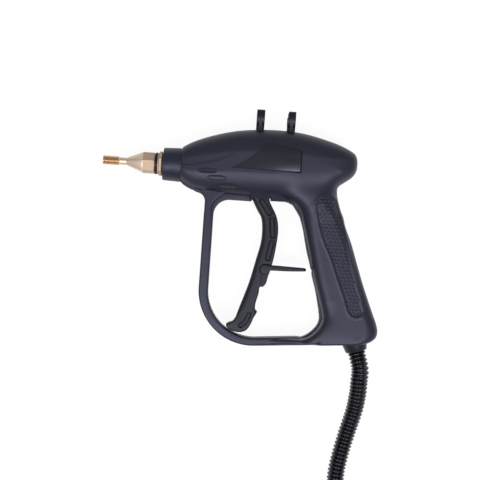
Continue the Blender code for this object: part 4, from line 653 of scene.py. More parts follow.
def guardOutline(thick):
    # The guard's band; the thick one has tighter corners, so that the thin one stands out as a rim there
    look = guard
    centre = (look["front"] + look["corner"], -look["bottom"] + look["corner"])
    endV = -look["bottom"] + (look["end"] - centre[0]) * math.tan(math.radians(look["rise"]))
    if thick:
        points = smoothLine(noseLine)
    else:
        noseAt = (look["front"] - look["bar"], -casing["belly"] - look["bar"] + look["noseRise"])
        points = bellyLine + arcPoints(noseAt, look["bar"], *look["noseArc"])
    points += arcPoints(centre, look["corner"], 180, 270 + look["rise"], look["steps"])
    points += [(look["end"], endV), (look["end"], endV + look["endThick"])] + look["heel"]
    for k in range(look["steps"], -1, -1):    # the band narrows from the bar's width to the base's
        share = k / look["steps"]
        reach = look["corner"] - look["bar"] + (look["bar"] - look["base"]) * share
        angle = math.radians(180 + (90 + look["rise"]) * share)
        points.append((centre[0] + reach * math.cos(angle), centre[1] + reach * math.sin(angle)))
    if thick:
        points += smoothLine(throatLine)
    else:
        throatAt = (look["front"] + look["bar"] + look["throat"], -look["flange"] - look["throat"])
        points += arcPoints(throatAt, look["throat"], *look["throatArc"])
        points += [(triggerSlot["low"][0], -look["flange"]), (triggerSlot["low"][0], look["top"])]
    return withRounding(points, look["rounding"] if thick else look["rimRounding"])


footLook = {"start": 100.0, "end": 166.0, "ramp": (100.0, 137.0), "fall": (151.0, 166.0), "exponent": 4.0,
            "half": 18.7, "endHalf": 17.3, "inset": 0.3, "lift": 0.25, "top": [
                (100.0, -148.6), (108.0, -147.9), (118.0, -147.1), (126.0, -146.6), (131.0, -146.6), (135.6, -145.7),
                (139.2, -143.8), (142.0, -141.5), (144.8, -138.7), (147.0, -135.7), (148.6, -132.5), (149.4, -129.0),
                (158.0, -122.0), (166.0, -120.0)]}


def footSkin():
    # The guard's base widens smoothly into the grip's foot
    look = footLook
    startHalf = guard["half"] - look["inset"]

    def place(share, turn):
        u = look["start"] + (look["end"] - look["start"]) * share
        half = startHalf + (look["half"] - startHalf) * easedShare(u, *look["ramp"])
        half -= (look["half"] - look["endHalf"]) * easedShare(u, *look["fall"])
        run = u - guard["front"] - guard["corner"]
        low = -guard["bottom"] + look["lift"] + run * math.tan(math.radians(guard["rise"]))
        high = straightRow(look["top"], u)[1]
        up, side = ovalPoint(turn, look["exponent"])
        return at(u, (low + high) / 2 + up * (high - low) / 2, side * half)
    return place


def solidSkin(place, along, around):
    shape = bmesh.new()
    sheetOver(shape, along, around, place)
    bmesh.ops.recalc_face_normals(shape, faces=shape.faces)
    bmesh.ops.triangulate(shape, faces=[f for f in shape.faces if len(f.verts) > 4])
    return shape


def makeBodyForm():
    # Body, grip and foot are joined by a fine remesh, and the joints between them are softened
    look = blendLook
    skins = [solidSkin(skin(), *grid) for skin, grid in zip((bodySkin, gripSkin, footSkin), look["grids"])]
    trees = [BVHTree.FromBMesh(skin) for skin in skins]
    whole = bmesh.new()
    for skin in skins:
        mesh = bpy.data.meshes.new("skin")
        skin.to_mesh(mesh)
        whole.from_mesh(mesh)
        skin.free()
    form = newObject("bodyForm", whole)
    step = form.modifiers.new("remesh", "REMESH")
    step.mode = "VOXEL"
    step.voxel_size = look["voxel"] * mm
    applied(form)
    shape = bmesh.new()
    shape.from_mesh(form.data)

    def soften(verts, rounds):
        for _ in range(rounds):
            bmesh.ops.smooth_vert(shape, verts=verts, factor=look["strength"], use_axis_x=True, use_axis_y=True,
                                  use_axis_z=True)
    for reach, rounds, clear, skinCount in look["blends"]:
        band = []
        for vert in shape.verts:
            u, v, w = (vert.co - gunOrigin) / mm
            if u < look["from"] or abs(w) < clear or v < look["low"] + look["rise"] * u:
                continue
            near = [tree.find_nearest(vert.co, reach * mm)[3] is not None for tree in trees[:skinCount]]
            if sum(near) > 1:
                band.append(vert)
        soften(band, rounds // (1))
    soften(shape.verts, look["lastRounds"])
    shape.to_mesh(form.data)
    shape.free()
    return form


bodyForm = makeBodyForm()
print("body and grip joined:", len(bodyForm.data.polygons), "faces")


def collarShape(shape):
    turnedShape(shape, (0, barrel, 0), (1, 0, 0), namedRows(collar, collar["rows"]), 128)


def skirtShape(shape, outline, side):
    # The slot's edge carries the belly's slope on, down to a narrow lower edge
    look = slotSkirt

    def lean(across, up, share):
        return at(across, up, side * (look["inner"] + share * (look["edge"] + look["slope"] * (up - look["bottom"]))))
    roundedPlate(shape, withRounding(outline, look["rounding"]), 0.0, 1.0, 4, lean)


def makeFrameWork():
    bands = [(roundedPlate, guardOutline(thick), -half, half)
             for thick, half in ((True, guard["half"]), (False, guard["rimHalf"]))]
    skirts = [(skirtShape, outline, side) for outline in slotSkirt["outlines"] for side in (1, -1)]
    rim = withRounding(smoothLine(gripRim["front"]) + smoothLine(gripRim["back"]), gripRim["rounding"])
    return gathered("frameWork", *bands, *skirts, (collarShape,),
                    (roundedPlate, rim, -gripRim["half"], gripRim["half"]))


screwPlaces = [(30.96, 14.94, 10.5), (34.06, -14.49, 10.5), (61.92, 23.96, 10.5), (155.49, 12.42, 9.45),
               (140.52, -57.98, 10.92), (184.56, -113.0, 10.92), (153.08, -138.43, 12.6),
               (57.43, -139.81, 6.3)]
screwLook = {"head": 2.6, "rise": 1.8, "shaft": 1.5, "reach": 6.0, "drive": 0.42, "driveReach": 1.75,
             "driveDepth": 1.2, "pillar": 4.2, "point": 0.3, "taper": 1.2,
             "crown": ((0.55, 0.05), (0.85, 0.35), (1.0, 0.9)), "through": 30, "driveOut": 3}
pivot = {"at": (88.99, -15.71), "hole": 2.3, "holeHalf": 15.4, "boss": 5.2, "bossStart": 7.8}
springSeat = ((64.0, -5.0, -beyond), (67.4, 4.0, beyond))
barrelBore = [(0, -30), (7.3, -30), (7.3, 3.2), (9.3, 3.2), (9.3, 6.3), (7.3, 6.3), (7.3, 13.2), (6.3, 13.5),
              (6.3, 32), (0, 32)]
glandBore = [(0, -11.2), (10.8, -11.2), (10.8, -5.6), (8.3, -5.6), (8.3, 30), (0, 30)]
clipSlot = {"half": 1.7, "low": 29.8, "high": 46.4, "reach": 5.3}


def makeCore():
    # The hollow inside; pillars, bosses and the spring's seat stay standing
    wall, grid = casing["wall"], casing["coreGrid"]
    core = gathered("core", (sheetOver, *grid, bodySkin(wall, *coreShares(casing["bodyCore"]))),
                    (sheetOver, *grid, gripSkin(wall, *coreShares(casing["gripCore"]))))
    for u, v, _ in screwPlaces:
        cut(core, "pillar", (crossRod, (u, v), -beyond, beyond, screwLook["pillar"]))
    bosses = [(crossRod, pivot["at"], side * pivot["bossStart"], side * beyond, pivot["boss"]) for side in (-1, 1)]
    return cut(core, "seats", *bosses, (boxShape, *springSeat))


def clipSlots(shape):
    for u in clipLook["places"]:
        boxShape(shape, (u - clipSlot["half"], clipSlot["low"], -clipSlot["reach"]),
                 (u + clipSlot["half"], clipSlot["high"], clipSlot["reach"]))


def makeHollow():
    # Everything that both halves leave free: core, trigger slot, bores, clip slots, the grip's notch and the pivot
    boxes = [(boxShape, (*room["low"], -room["half"]), (*room["high"], room["half"])) for room in (triggerSlot, notch)]
    tools = gathered("hollow", boxes[0], (turnedShape, (0, barrel, 0), (1, 0, 0), barrelBore, roundSteps),
                     (turnedShape, glandPoint(0), glandAxis(), glandBore, roundSteps), (clipSlots,), boxes[1],
                     (crossRod, pivot["at"], -pivot["holeHalf"], pivot["holeHalf"], pivot["hole"]))
    return carve(makeCore(), tools, "UNION")


def bodyHalfWidth(u, v):
    row = straightRow(bodyTable, u / casing["length"])
    if row is None:
        return collar["rear"]
    top, bottom = row[1] * casing["roof"], -row[2] * casing["belly"]
    rise = min(abs(v - (top + bottom) / 2) / ((top - bottom) / 2), 1.0)
    spread = (1 - rise ** casing["exponent"]) ** (1 / casing["exponent"])
    return row[3] * casing["half"] * min(1.0, spread * casing["swell"])


# Dimples: rows of (inset, lift) give a dished floor, a sloped wall, and a straight way out
dimpleLook = {"places": [(40.0, -5.0), (48.9, -10.5), (58.5, -16.7)], "length": 16.6, "width": 4.5, "tilt": 0.1,
              "rows": [(1.0, -0.8), (0.5, -0.56), (0.0, 0.0), (-0.5, 0.7), (-0.5, 4.0)], "insetUp": 0.6,
              "square": 2.6, "around": 48}
badge = {"left": [(61.0, -0.7), (62.6, 0.1), (74.6, 7.9), (83.2, 14.5), (92.2, 23.6)],
         "right": [(120.8, -0.4), (120.8, 17.5)], "depth": 0.45, "rightBow": 0.0014, "bowFrom": 93.0,
         "lowBow": 0.0075, "bowBelow": 9.0, "bowEase": (66.0, 112.0), "grid": 24, "middle": (93.0, 12.0),
         "flare": (0.7 / 30, 0.7 / 12), "out": 24.0,
         "finish": {"border": 1.0, "from": 6.0, "share": 0.8, "facing": 0.6}}
groove = {"line": [(16.0, -0.6), (24, -0.2), (31, 0.8), (43.4, 3.4), (54.7, 7.3), (59.5, 9.6), (62.9, 11.6)],
          "radius": 0.9, "fade": 0.65}


def dimpleTools(shape, side):
    look = dimpleLook
    for u, v in look["places"]:
        rings = []
        for inset, lift in look["rows"]:
            ring = []
            for k in range(look["around"]):
                along, up = ovalPoint(k / look["around"], look["square"])
                a = u + along * (look["length"] / 2 - inset)
                b = v + up * (look["width"] / 2 - inset * look["insetUp"])
                ring.append((a, b, bodyHalfWidth(a, b) + lift * (1 + look["tilt"] * up if lift < 0 else 1)))
            rings.append(ring)
        ringSheet(shape, rings, side)


def grooveTool(shape, side):
    line = [at(u, v, side * bodyHalfWidth(u, v)) for u, v in smoothLine(groove["line"], 8)]
    shares = [k / (len(line) - 1) for k in range(len(line))]
    tubeShape(shape, line, [groove["radius"] * mm * (1.0 - groove["fade"] * share ** 2) for share in shares], 12)


def badgeTool(shape):
    # The badge recess: a bowed floor between its slanted left side and its right side, flared outwards
    look = badge
    left = evenly([Vector((u, v, 0)) for u, v in look["left"]], 0.5)
    right = [Vector((u, v, 0)) for u, v in look["right"]]

    def place(share, turn):
        start = left[round(share * (len(left) - 1))]
        point = start.lerp(right[0].lerp(right[1], share), turn)
        bow = look["rightBow"] * max(point.x - look["bowFrom"], 0.0) ** 2
        bow += look["lowBow"] * max(look["bowBelow"] - point.y, 0.0) ** 2 * easedShare(point.x, *look["bowEase"])
        return at(point.x, point.y, bodyHalfWidth(point.x, point.y) - look["depth"] - bow)
    floor = sheetOver(shape, look["grid"], look["grid"], place, False)
    faces = list(dict.fromkeys(face for vert in floor for face in vert.link_faces))
    made = bmesh.ops.extrude_face_region(shape, geom=faces)["geom"]
    middle = at(*look["middle"], look["out"])
    for vert in [g for g in made if isinstance(g, bmesh.types.BMVert)]:
        rise = (middle.z - vert.co.z) / mm
        for k in (0, 1):
            vert.co[k] = middle[k] + (vert.co[k] - middle[k]) * (1 + look["flare"][k] * rise)
        vert.co.z = middle.z


def screwHoles(shape, side):
    look = screwLook
    shaft, head, through = look["shaft"] + play, look["head"] + play, look["through"]
    for u, v, depth in screwPlaces:
        if side > 0:
            crossRod(shape, (u, v), -beyond / 2, look["reach"] + play, shaft, 24)
        else:
            seat = -depth + look["rise"] + play
            turnedShape(shape, (u, v, 0), (0, 0, 1), [
                (0, -through), (head, -through), (head, seat), (shaft, seat), (shaft, through), (0, through)],
                holeSteps)


panel = {"outline": [
    (135.9, -26.3), (136.6, -32.0), (137.9, -38.1), (140.4, -47.0), (143.8, -56.7), (147.9, -65.5), (151.8, -72.8),
    (155.6, -82.0), (159.2, -91.5), (162.2, -98.5), (165.2, -105.4), (167.6, -112.0), (170.2, -119.6),
    (173.6, -123.6), (178.5, -125.0), (183.0, -123.6), (185.2, -119.0), (182.2, -109.0), (178.2, -98.0),
    (173.2, -82.0), (168.2, -64.0), (162.8, -45.0), (157.6, -30.0), (154.8, -22.0), (150.0, -18.2), (144.0, -18.4),
    (138.6, -21.4)],
    "low": (134.0, -127.0), "high": (188.0, -15.0), "least": 6.0, "facing": 0.3,
    "sink": 0.35, "lip": 0.6, "lipWidth": 3.0, "slope": 1.2}
pebbles = {"pitch": 3.5, "rowShare": 0.866, "radius": 1.45, "height": 0.6, "margin": 2.5, "start": (134.0, -18.0),
           "reach": 112.0, "columns": 20, "facing": 0.35, "smooth": 60}


def borderDistance(u, v):
    # Distance to the panel's border, positive inside
    inside, nearest = False, 1e9
    outline = panel["outline"]
    for a, b in zip(outline, outline[1:] + outline[:1]):
        if (a[1] > v) != (b[1] > v) and u < (b[0] - a[0]) * (v - a[1]) / (b[1] - a[1]) + a[0]:
            inside = not inside
        run, rise = b[0] - a[0], b[1] - a[1]
        share = min(max(((u - a[0]) * run + (v - a[1]) * rise) / (run * run + rise * rise), 0.0), 1.0)
        nearest = min(nearest, math.hypot(u - a[0] - run * share, v - a[1] - rise * share))
    return nearest if inside else -nearest


def sinkPanel(shell, side):
    # The grip's panel is sunk a little inside a raised border
    look = panel
    shape = bmesh.new()
    shape.from_mesh(shell.data)
    (lowU, lowV), (highU, highV) = look["low"], look["high"]
    moves = []
    for vert in shape.verts:
        u, v, w = (vert.co - gunOrigin) / mm
        if not (lowU < u < highU and lowV < v < highV) or w * side < look["least"]:
            continue
        depth = borderDistance(u, v)
        if vert.normal.z * side >= look["facing"] and depth > -look["lipWidth"] / 2:
            lip = max(0.0, 1 - abs(depth) / (look["lipWidth"] / 2)) * look["lip"]
            sink = min(max((depth - look["lipWidth"] / 3) / look["slope"], 0.0), 1.0) * look["sink"]
            moves.append((vert, vert.normal * (lip - sink) * mm))
    for vert, move in moves:
        vert.co += move
    shape.to_mesh(shell.data)
    tree = BVHTree.FromBMesh(shape)
    shape.free()
    return tree


def pebbleDomes(shape, tree, side):
    # Low domes in staggered rows over the sunk floor, each a few dozen faces
    look = pebbles
    rowPitch = look["pitch"] * look["rowShare"]
    size = Matrix.Diagonal((look["radius"], look["radius"], look["height"], 1)) @ Matrix.Scale(mm, 4)
    for row in range(int(look["reach"] / rowPitch) + 1):
        v = look["start"][1] - row * rowPitch
        for column in range(look["columns"]):
            u = look["start"][0] + (column + 0.5 * (row % 2)) * look["pitch"]
            if borderDistance(u, v) < look["margin"]:
                continue
            hit, normal, _, _ = tree.ray_cast(at(u, v, side * beyond), Vector((0, 0, -side)))
            if hit is None or normal.z * side < look["facing"]:
                continue
            turn = normal.to_track_quat("Z", "Y").to_matrix().to_4x4()
            turn.translation = hit
            bmesh.ops.create_uvsphere(shape, u_segments=8, v_segments=6, radius=1.0, matrix=turn @ size)


def makeShell(whole, side, name):
    shell = newObject(name, bmesh.new())
    shell.data = whole.data.copy()
    low, high = sorted((side * casing["seam"] / 2, side * casing["out"]))
    carve(shell, oneMesh("keep", (boxShape, (*casing["low"], low), (*casing["high"], high))), "INTERSECT")
    tools = [(dimpleTools, side), (screwHoles, side)] + ([(badgeTool,)] if side > 0 else [])
    cut(shell, "sideTools", *tools)
    return cut(shell, "grooveTool", (grooveTool, side))


def finishBadge(shell):
    # The recess has a smoother finish than the rest
    look = badge["finish"]
    shell.data.materials.append(finishes["badgePlastic"])
    (lowU, lowV), highV, highU = badge["left"][0], badge["left"][-1][1], badge["right"][1][0]
    for face in shell.data.polygons:
        u, v, w = (face.center - gunOrigin) / mm
        if lowU < u < highU + look["border"] and lowV - look["border"] < v < highV + look["border"]:
            deepest = bodyHalfWidth(u, v) - badge["depth"] * look["share"]
            if face.normal.z > look["facing"] and look["from"] < w < deepest:
                face.material_index = 1


def makeCasing():
    whole = carve(bodyForm, makeFrameWork(), "UNION")
    print("frame work united:", len(whole.data.polygons))
    carve(whole, makeHollow())
    print("casing hollowed:", len(whole.data.polygons))
    for side, name in ((1, "left"), (-1, "right")):
        shell = makeShell(whole, side, name + "Shell")
        tree = sinkPanel(shell, side)
        outfit(shell, name + "Shell", "charcoalPlastic", name + "_shell", smooth=casing["smooth"])
        if side > 0:
            finishBadge(shell)
        grain = oneMesh(name + "GripPebbles", (pebbleDomes, tree, side))
        outfit(grain, name + "GripPebbles", "panelPlastic", smooth=pebbles["smooth"])
        print(name, "shell made:", len(shell.data.polygons), "faces, pebbles", len(grain.data.polygons))
    bpy.data.objects.remove(whole)


# Pivot pin, and case screws with their cross recess

def makePin():
    reach = pivot["holeHalf"] - play
    pin = oneMesh("triggerPin", (crossRod, pivot["at"], -reach, reach, pivot["hole"] - play))
    outfit(pin, "triggerPin", "zincSteel", "trigger_pin", slot="steel")


def makeScrews():
    look = screwLook
    for number, (u, v, depth) in enumerate(screwPlaces, 1):
        head, shaft, end = look["head"], look["shaft"], look["reach"] + depth
        crown = [(head * share, down) for share, down in look["crown"]]
        screw = oneMesh("screw", (turnedShape, (u, v, -depth), (0, 0, 1), [
            (0, 0), *crown, (head, look["rise"]), (shaft, look["rise"]), (shaft, end - look["taper"]),
            (look["point"], end), (0, end)], 40))
        arms = [(look["driveReach"], look["drive"]), (look["drive"], look["driveReach"])]
        carve(screw, gathered("drive", *[
            (boxShape, (u - a, v - b, -depth - look["driveOut"]), (u + a, v + b, -depth + look["driveDepth"]))
            for a, b in arms]))
        outfit(screw, "caseScrew%d" % number, "zincSteel", "shell_screw_%d" % number, slot="steel")


# Nozzle, its seal and the holder. Rows: named place and offset, named radius and offset, share of hexagon

nozzle = {"tip": -53.8, "thread": -39.4, "neck": -32.0, "cone": -17.9, "rim": -7.9, "rear": -7.3, "tipRadius": 4.2,
          "smooth": 28, "neckRadius": 3.3, "hex": 9.9, "turn": 20.0, "bore": 1.5, "socket": 5.3, "socketEnd": -18.1,
          "threadRows": 84, "threadFrom": 0.7, "threadTo": -0.5, "coneRows": 8,
          "coneEnd": ("cone", -0.4, "hex", -0.25, 0.9), "tipRows": [
              ("tip", 0.5, "bore", 0, 0), ("tip", 0, "bore", 0.5, 0), ("tip", 0, "tipRadius", -1.0, 0),
              ("tip", 0.25, "tipRadius", -0.45, 0)], "neckRows": [
              ("thread", -0.1, "neckRadius", 0.35, 0), ("thread", 0.4, "neckRadius", 0, 0),
              ("neck", -1.6, "neckRadius", 0, 0), ("neck", -0.6, "neckRadius", 0.12, 0.15),
              ("neck", 0, "neckRadius", 0.45, 0.3), ("neck", 1.0, "neckRadius", 0.95, 0.4)], "hexRows": [
              ("cone", 0, "hex", -0.05, 1), ("cone", 0.5, "hex", 0, 1), ("rim", -0.2, "hex", 0, 1),
              ("rim", 0.1, "hex", -0.15, 1), ("rear", -0.1, "hex", -0.75, 0.7), ("rear", 0, "hex", -1.0, 0.4),
              ("rear", 0, "socket", 0.3, 0), ("rear", -0.3, "socket", 0, 0), ("socketEnd", 0, "socket", 0, 0),
              ("socketEnd", -4.5, "bore", 0, 0), ("tip", 0.5, "bore", 0, 0)]}
threadLook = {"start": -53.4, "end": -39.6, "pitch": 1.6, "depth": 0.7, "ease": 1.0, "above": 3.6}
holder = {"turn": 9.0, "smooth": 28, "head": -4.9, "ring": 9.6, "shelf": -3.9, "hex": 11.1, "stop": -0.9, "stem": 7.0,
          "spigot": 5.0, "spigotEnd": -17.2, "flange": 9.0, "front": 3.5, "back": 6.0, "barbStart": 13.5,
          "barbEnd": 26.5, "barb": 3.4, "barbBase": 2.8, "teeth": 3, "toothRise": (0.2, 0.3), "bore": 2.0,
          "frontRows": [
              ("spigotEnd", 0.4, "bore", 0, 0), ("spigotEnd", 0, "bore", 0.4, 0), ("spigotEnd", 0, "spigot", -0.3, 0),
              ("spigotEnd", 0.3, "spigot", 0, 0), ("head", 0, "spigot", 0, 0), ("head", 0, "ring", -0.25, 0),
              ("head", 0.25, "ring", 0, 0), ("shelf", -0.15, "ring", 0, 0), ("shelf", 0, "ring", 0.1, 0.3),
              ("shelf", 0.05, "hex", -0.9, 0.9), ("shelf", 0.6, "hex", 0, 1), ("stop", -0.5, "hex", 0, 1),
              ("stop", 0, "hex", -0.6, 1), ("stop", 0, "stem", 0, 0), ("front", 0, "stem", 0, 0),
              ("front", 0, "flange", -0.2, 0), ("front", 0.2, "flange", 0, 0), ("back", -0.2, "flange", 0, 0),
              ("back", 0, "flange", -0.2, 0), ("back", 0, "stem", 0, 0), ("barbStart", -0.6, "stem", 0, 0),
              ("barbStart", -0.6, "barbBase", 0, 0)], "endRows": [
              ("barbEnd", 0, "bore", 0, 0), ("spigotEnd", 0.4, "bore", 0, 0)]}
seal = {"u": -6.1, "middle": 8.9, "height": 0.8, "width": 1.15, "square": 3.0, "around": 24, "smooth": 60}


def makeNozzle():
    look = nozzle
    rows = namedRows(look, look["tipRows"])
    start, end = look["tip"] + look["threadFrom"], look["thread"] + look["threadTo"]
    for k in range(look["threadRows"] + 1):
        rows.append((start + (end - start) * k / look["threadRows"], look["tipRadius"], 0))
    rows += namedRows(look, look["neckRows"])
    small, wide = rows[-1], namedRows(look, [look["coneEnd"]])[0]
    for k in range(1, look["coneRows"] + 1):
        rows.append(tuple(a + (b - a) * k / look["coneRows"] for a, b in zip(small, wide)))
    rows += namedRows(look, look["hexRows"])
    piece = oneMesh("nozzle", (hexTurned, rows, look["turn"], roundSteps, threadLook))
    outfit(piece, "nozzle", "brassMetal", "nozzle", slot="brass", smooth=look["smooth"])
    for finish in ("coneBrassPaintedSheen", "threadBrass"):
        piece.data.materials.append(finishes[finish])
    # Neck and cone faces take the lighter brass, a painted sheen; the thread takes the thread brass
    for face in piece.data.polygons:
        face.material_index = sum(face.center.x < at(look[edge], 0).x for edge in ("cone", "thread"))


def makeSeal():
    look = seal
    points = [ovalPoint(k / look["around"], look["square"]) for k in range(look["around"])]
    ring = [(look["middle"] + look["height"] * up, look["width"] * side) for up, side in points]
    piece = oneMesh("nozzleSeal", (turnedShape, (look["u"], barrel, 0), (1, 0, 0), ring, roundSteps))
    outfit(piece, "nozzleSeal", "sealRubber", "nozzle_o_ring", slot="black_rubber", smooth=look["smooth"])


def makeHolder():
    look = holder
    rows = namedRows(look, look["frontRows"])
    tooth = (look["barbEnd"] - look["barbStart"]) / look["teeth"]
    for k in range(look["teeth"]):
        start = look["barbStart"] + tooth * k
        low, high = [start + tooth * share for share in look["toothRise"]]
        rows += [(low, look["barbBase"], 0), (high, look["barb"], 0), (start + tooth, look["barbBase"], 0)]
    rows += namedRows(look, look["endRows"])
    piece = oneMesh("nozzleHolder", (hexTurned, rows, look["turn"]))
    outfit(piece, "nozzleHolder", "brassMetal", "nozzle_holder", slot="brass", smooth=look["smooth"])


# Trigger and safety latch

triggerLook = {
    "half": 7.5, "frontRounding": 4.6, "rearRounding": 1.5, "slotRounding": 0.8, "easePoints": 8,
    "front": [(81.6, -20), (81.0, -25.8), (86.3, -36.1), (90.2, -42.6), (91.7, -53), (91.2, -65), (88.3, -78.4),
              (83.8, -98.3), (80.1, -110.8), (76, -123.5), (73.6, -132)],
    "toe": [(73.6, -132), (71, -135.6), (68, -136.8), (65.5, -138.7), (66.8, -141.4), (72, -144.2), (78.1, -144.8),
            (83.6, -142.6), (87.1, -137.4), (89.6, -130.9)],
    "heel": [(89.6, -130.9), (92.1, -125.8), (90.3, -123.8), (90.4, -117.9), (92.3, -110.1), (93, -103.9),
             (95.8, -103.4), (98.4, -100), (99.7, -94.1), (101.3, -88.9)],
    "rear": [(101.3, -88.9), (102.4, -83.7), (104.1, -74.3), (105.4, -63), (105.9, -53.8), (104.9, -45),
             (102.4, -38), (98.8, -31.7), (96.4, -26.6), (95.8, -20)],
    "arm": [(95.8, -15.1), (92.5, -5), (92, 2), (90, 3.9), (86.4, 3.9), (84, 2.2), (84, -12), (82, -15.4)]}
pockets = {"depth": 0.1, "moat": 3.4, "moatWidth": 1.6, "slope": 0.05, "edge": 0.25, "over": 0.02, "out": 3.0,
           "square": 3.2, "capSteps": 10, "paths": [
    ([(89.6, -28.2), (96.9, -37.6)], 5.6), ([(99.6, -43.6), (101.2, -57.6)], 5.4),
    ([(100.7, -64.0), (98.4, -77.6)], 5.4), ([(85.2, -128.6), (82.3, -135.0), (78.4, -138.4)], 4.8)]}
latchLook = {"at": (96.3, -87.8), "disc": 4.6, "half": 7.3, "web": 4.5, "fork": 17.4, "rounding": 1.1, "seat": 4.9,
             "seatShares": (0.62, 0.75), "pin": 1.5, "pinHalf": 6.5, "room": 30.0, "hinge": (2.5, 3.88),
             "discArc": (-10, -302, 48),
             "arm": [(102.6, -83.9), (117.3, -84.1), (131.0, -84.4), (132.5, -85.0), (132.95, -85.9),
                     (132.4, -86.8), (131.0, -87.3), (117.1, -88.2), (101.7, -88.5)]}


def pocketTools(shape, side, half):
    # A sunk floor with a deeper moat round it; rows are (width, distance out)
    look = pockets
    for path, width in look["paths"]:
        floor = width - look["moatWidth"] * 2
        rows = [(floor, half - look["depth"]), (floor + look["edge"], half - look["moat"]),
                (width - look["slope"] * 2, half - look["moat"]), (width, half + look["over"]),
                (width, half + look["out"])]
        if len(path) == 2:
            path = [path[0], tuple((a + b) / 2 for a, b in zip(*path)), path[1]]
        line = smoothLine(path, 6)
        ringSheet(shape, [[(u, v, w) for u, v in ribbon(line, size, look["square"], look["capSteps"])]
                          for size, w in rows], side)


def triggerOutline():
    look = triggerLook
    outline, rear, front = [], look["rearRounding"], look["frontRounding"]
    for key, rounding, steps in (("front", front, 6), ("toe", rear, 5), ("heel", rear, 4), ("rear", rear, 5)):
        outline += withRounding(smoothLine(look[key], steps)[1 if outline else 0:], rounding)
        if key == "front":
            last = len(outline) - 1
    for k in range(look["easePoints"]):    # the two roundings meet over a few points
        for place in (last - k, k):
            outline[place] = (*outline[place][:2], rear + (front - rear) * k / look["easePoints"])
    return outline + withRounding(look["arm"], look["slotRounding"])


def makeTrigger():
    half = triggerLook["half"]
    trigger = oneMesh("trigger", (roundedPlate, triggerOutline(), -half, half, 5))
    holes = ((pivot["at"], pivot["hole"]), (latchLook["at"], latchLook["pin"]))
    cut(trigger, "triggerTools", *[(pocketTools, side, half) for side in (-1, 1)],
        *[(crossRod, place, -beyond / 2, beyond / 2, radius, holeSteps) for place, radius in holes])
    # The latch's fork lies in a step on both sides, open to the rear and below
    look = latchLook
    (u, v), disc, reach = look["at"], look["seat"], look["fork"] - play
    upper, lower = look["seatShares"]
    step = withRounding([(u - disc * upper, v), (u - disc * lower, v - reach), (u + reach, v - reach),
                         (u + reach, v + disc), (u, v + disc)], 0)
    for side in (-1, 1):
        low, high = sorted((side * (look["web"] - play), side * beyond / 2))
        carve(trigger, gathered("seat", (roundedPlate, step, low, high, 1), (crossRod, (u, v), low, high, disc)))
    outfit(trigger, "triggerLever", "leverPlastic", "trigger", body="trigger")


def makeLatch():
    look = latchLook
    (u, v), room, web = look["at"], look["room"], look["web"]
    outline = arcPoints((u, v), look["disc"], *look["discArc"])[:-1]
    outline += [(u + look["hinge"][0], v + look["hinge"][1])] + smoothLine(look["arm"], 3)
    plate = withRounding(outline[::-1], look["rounding"])
    latch = oneMesh("latch", (roundedPlate, plate, -look["half"], look["half"], 5))
    cut(latch, "fork", (boxShape, (u - room, v - room, -web), (u + look["fork"], v + room, web)))
    cut(latch, "pinHole", (crossRod, (u, v), -look["pinHalf"], look["pinHalf"], look["pin"], holeSteps))
    outfit(latch, "safetyLatch", "leverPlastic", "safety_latch", body="latch")


# Tube clips on the roof

clipLook = {"places": (83.6, 111.0), "width": 7.1, "centre": 46.4, "tip": 52.7, "inner": 7.5, "wall": 2.1, "web": 2.8,
            "foot": 29.8, "footHeight": 1.6, "tongue": 5.0, "rounding": 0.55, "outerEnd": 34.0, "innerEnd": 36.0,
            "lips": (-0.8, 0.2), "saddle": 5.4, "saddleTop": 38.6, "step": 0.6, "stepFrom": 2.2, "webShare": 0.94,
            "webRounding": 0.25, "roofGap": 0.3, "tongueLift": 0.8, "tongueTop": 37.35,
            "padLift": 3, "past": 3, "ringSteps": 56, "skinGrid": (40, 96)}


def makeClip(name, node, u, stepped):
    look = clipLook
    outer, half, thin, tongue = look["inner"] + look["wall"], look["width"] / 2, look["web"] / 2, look["tongue"]
    centre, steps = (0, look["centre"]), look["ringSteps"]
    ring = arcPoints(centre, outer, look["outerEnd"], -180 - look["outerEnd"], steps)
    inside = arcPoints(centre, look["inner"], -180 - look["innerEnd"], look["innerEnd"], steps)
    right = [(ring[0][0] + look["wall"] * share, look["tip"]) for share in look["lips"]]
    loop = right + ring + [(-w, v) for w, v in reversed(right)] + inside
    web, foot = outer * look["webShare"], look["foot"] + casing["wall"]
    saddle = arcPoints(centre, look["inner"] + look["wall"] / 2, 0, -180, steps // 2)
    side = [(-web, look["centre"]), (-web, foot), (web, foot), (web, look["centre"])] + saddle[1:-1]

    def across(w, v, place):
        return at(u + place, v, w)
    clip = gathered("clip", (roundedPlate, withRounding(loop, look["rounding"]), -half, half, 4, across),
                    (roundedPlate, withRounding(side, look["webRounding"]), -thin, thin, 2, across),
                    (boxShape, (u - half, look["foot"] + look["padLift"], -look["saddle"]),
                     (u + half, look["saddleTop"], look["saddle"])))
    cut(clip, "roofSkin", (sheetOver, *look["skinGrid"], bodySkin(-look["roofGap"])))
    carve(clip, gathered("tongue", (boxShape, (u - thin, look["foot"] + look["tongueLift"], -tongue),
                                    (u + thin, look["tongueTop"], tongue)),
                         (boxShape, (u - half, look["foot"], -tongue),
                          (u + half, look["foot"] + look["footHeight"], tongue))), "UNION")
    if stepped:
        cut(clip, "notchBox", (boxShape, (u - half - look["past"], look["centre"] + look["stepFrom"], -beyond / 2),
                               (u - half + look["step"], look["tip"] + look["past"], beyond / 2)))
    outfit(clip, name, "clipPlastic", node)


# Gland under the grip's foot, turned from rows of (radius, distance) and fitted to the foot's skin

glandLook = {"profile": [(10.5, -8.7), (10.5, -5.9), (8.0, -5.9), (8.0, -2.4), (11.5, -2.4), (9.6, 6.2), (9.25, 6.7),
                         (8.8, 7.1), (6.4, 7.1), (6.4, -8.7)], "neckRoom": 8.15, "roomReach": 30,
             "skinGap": 0.25, "skinFrom": 11, "skinGrid": (40, 96)}


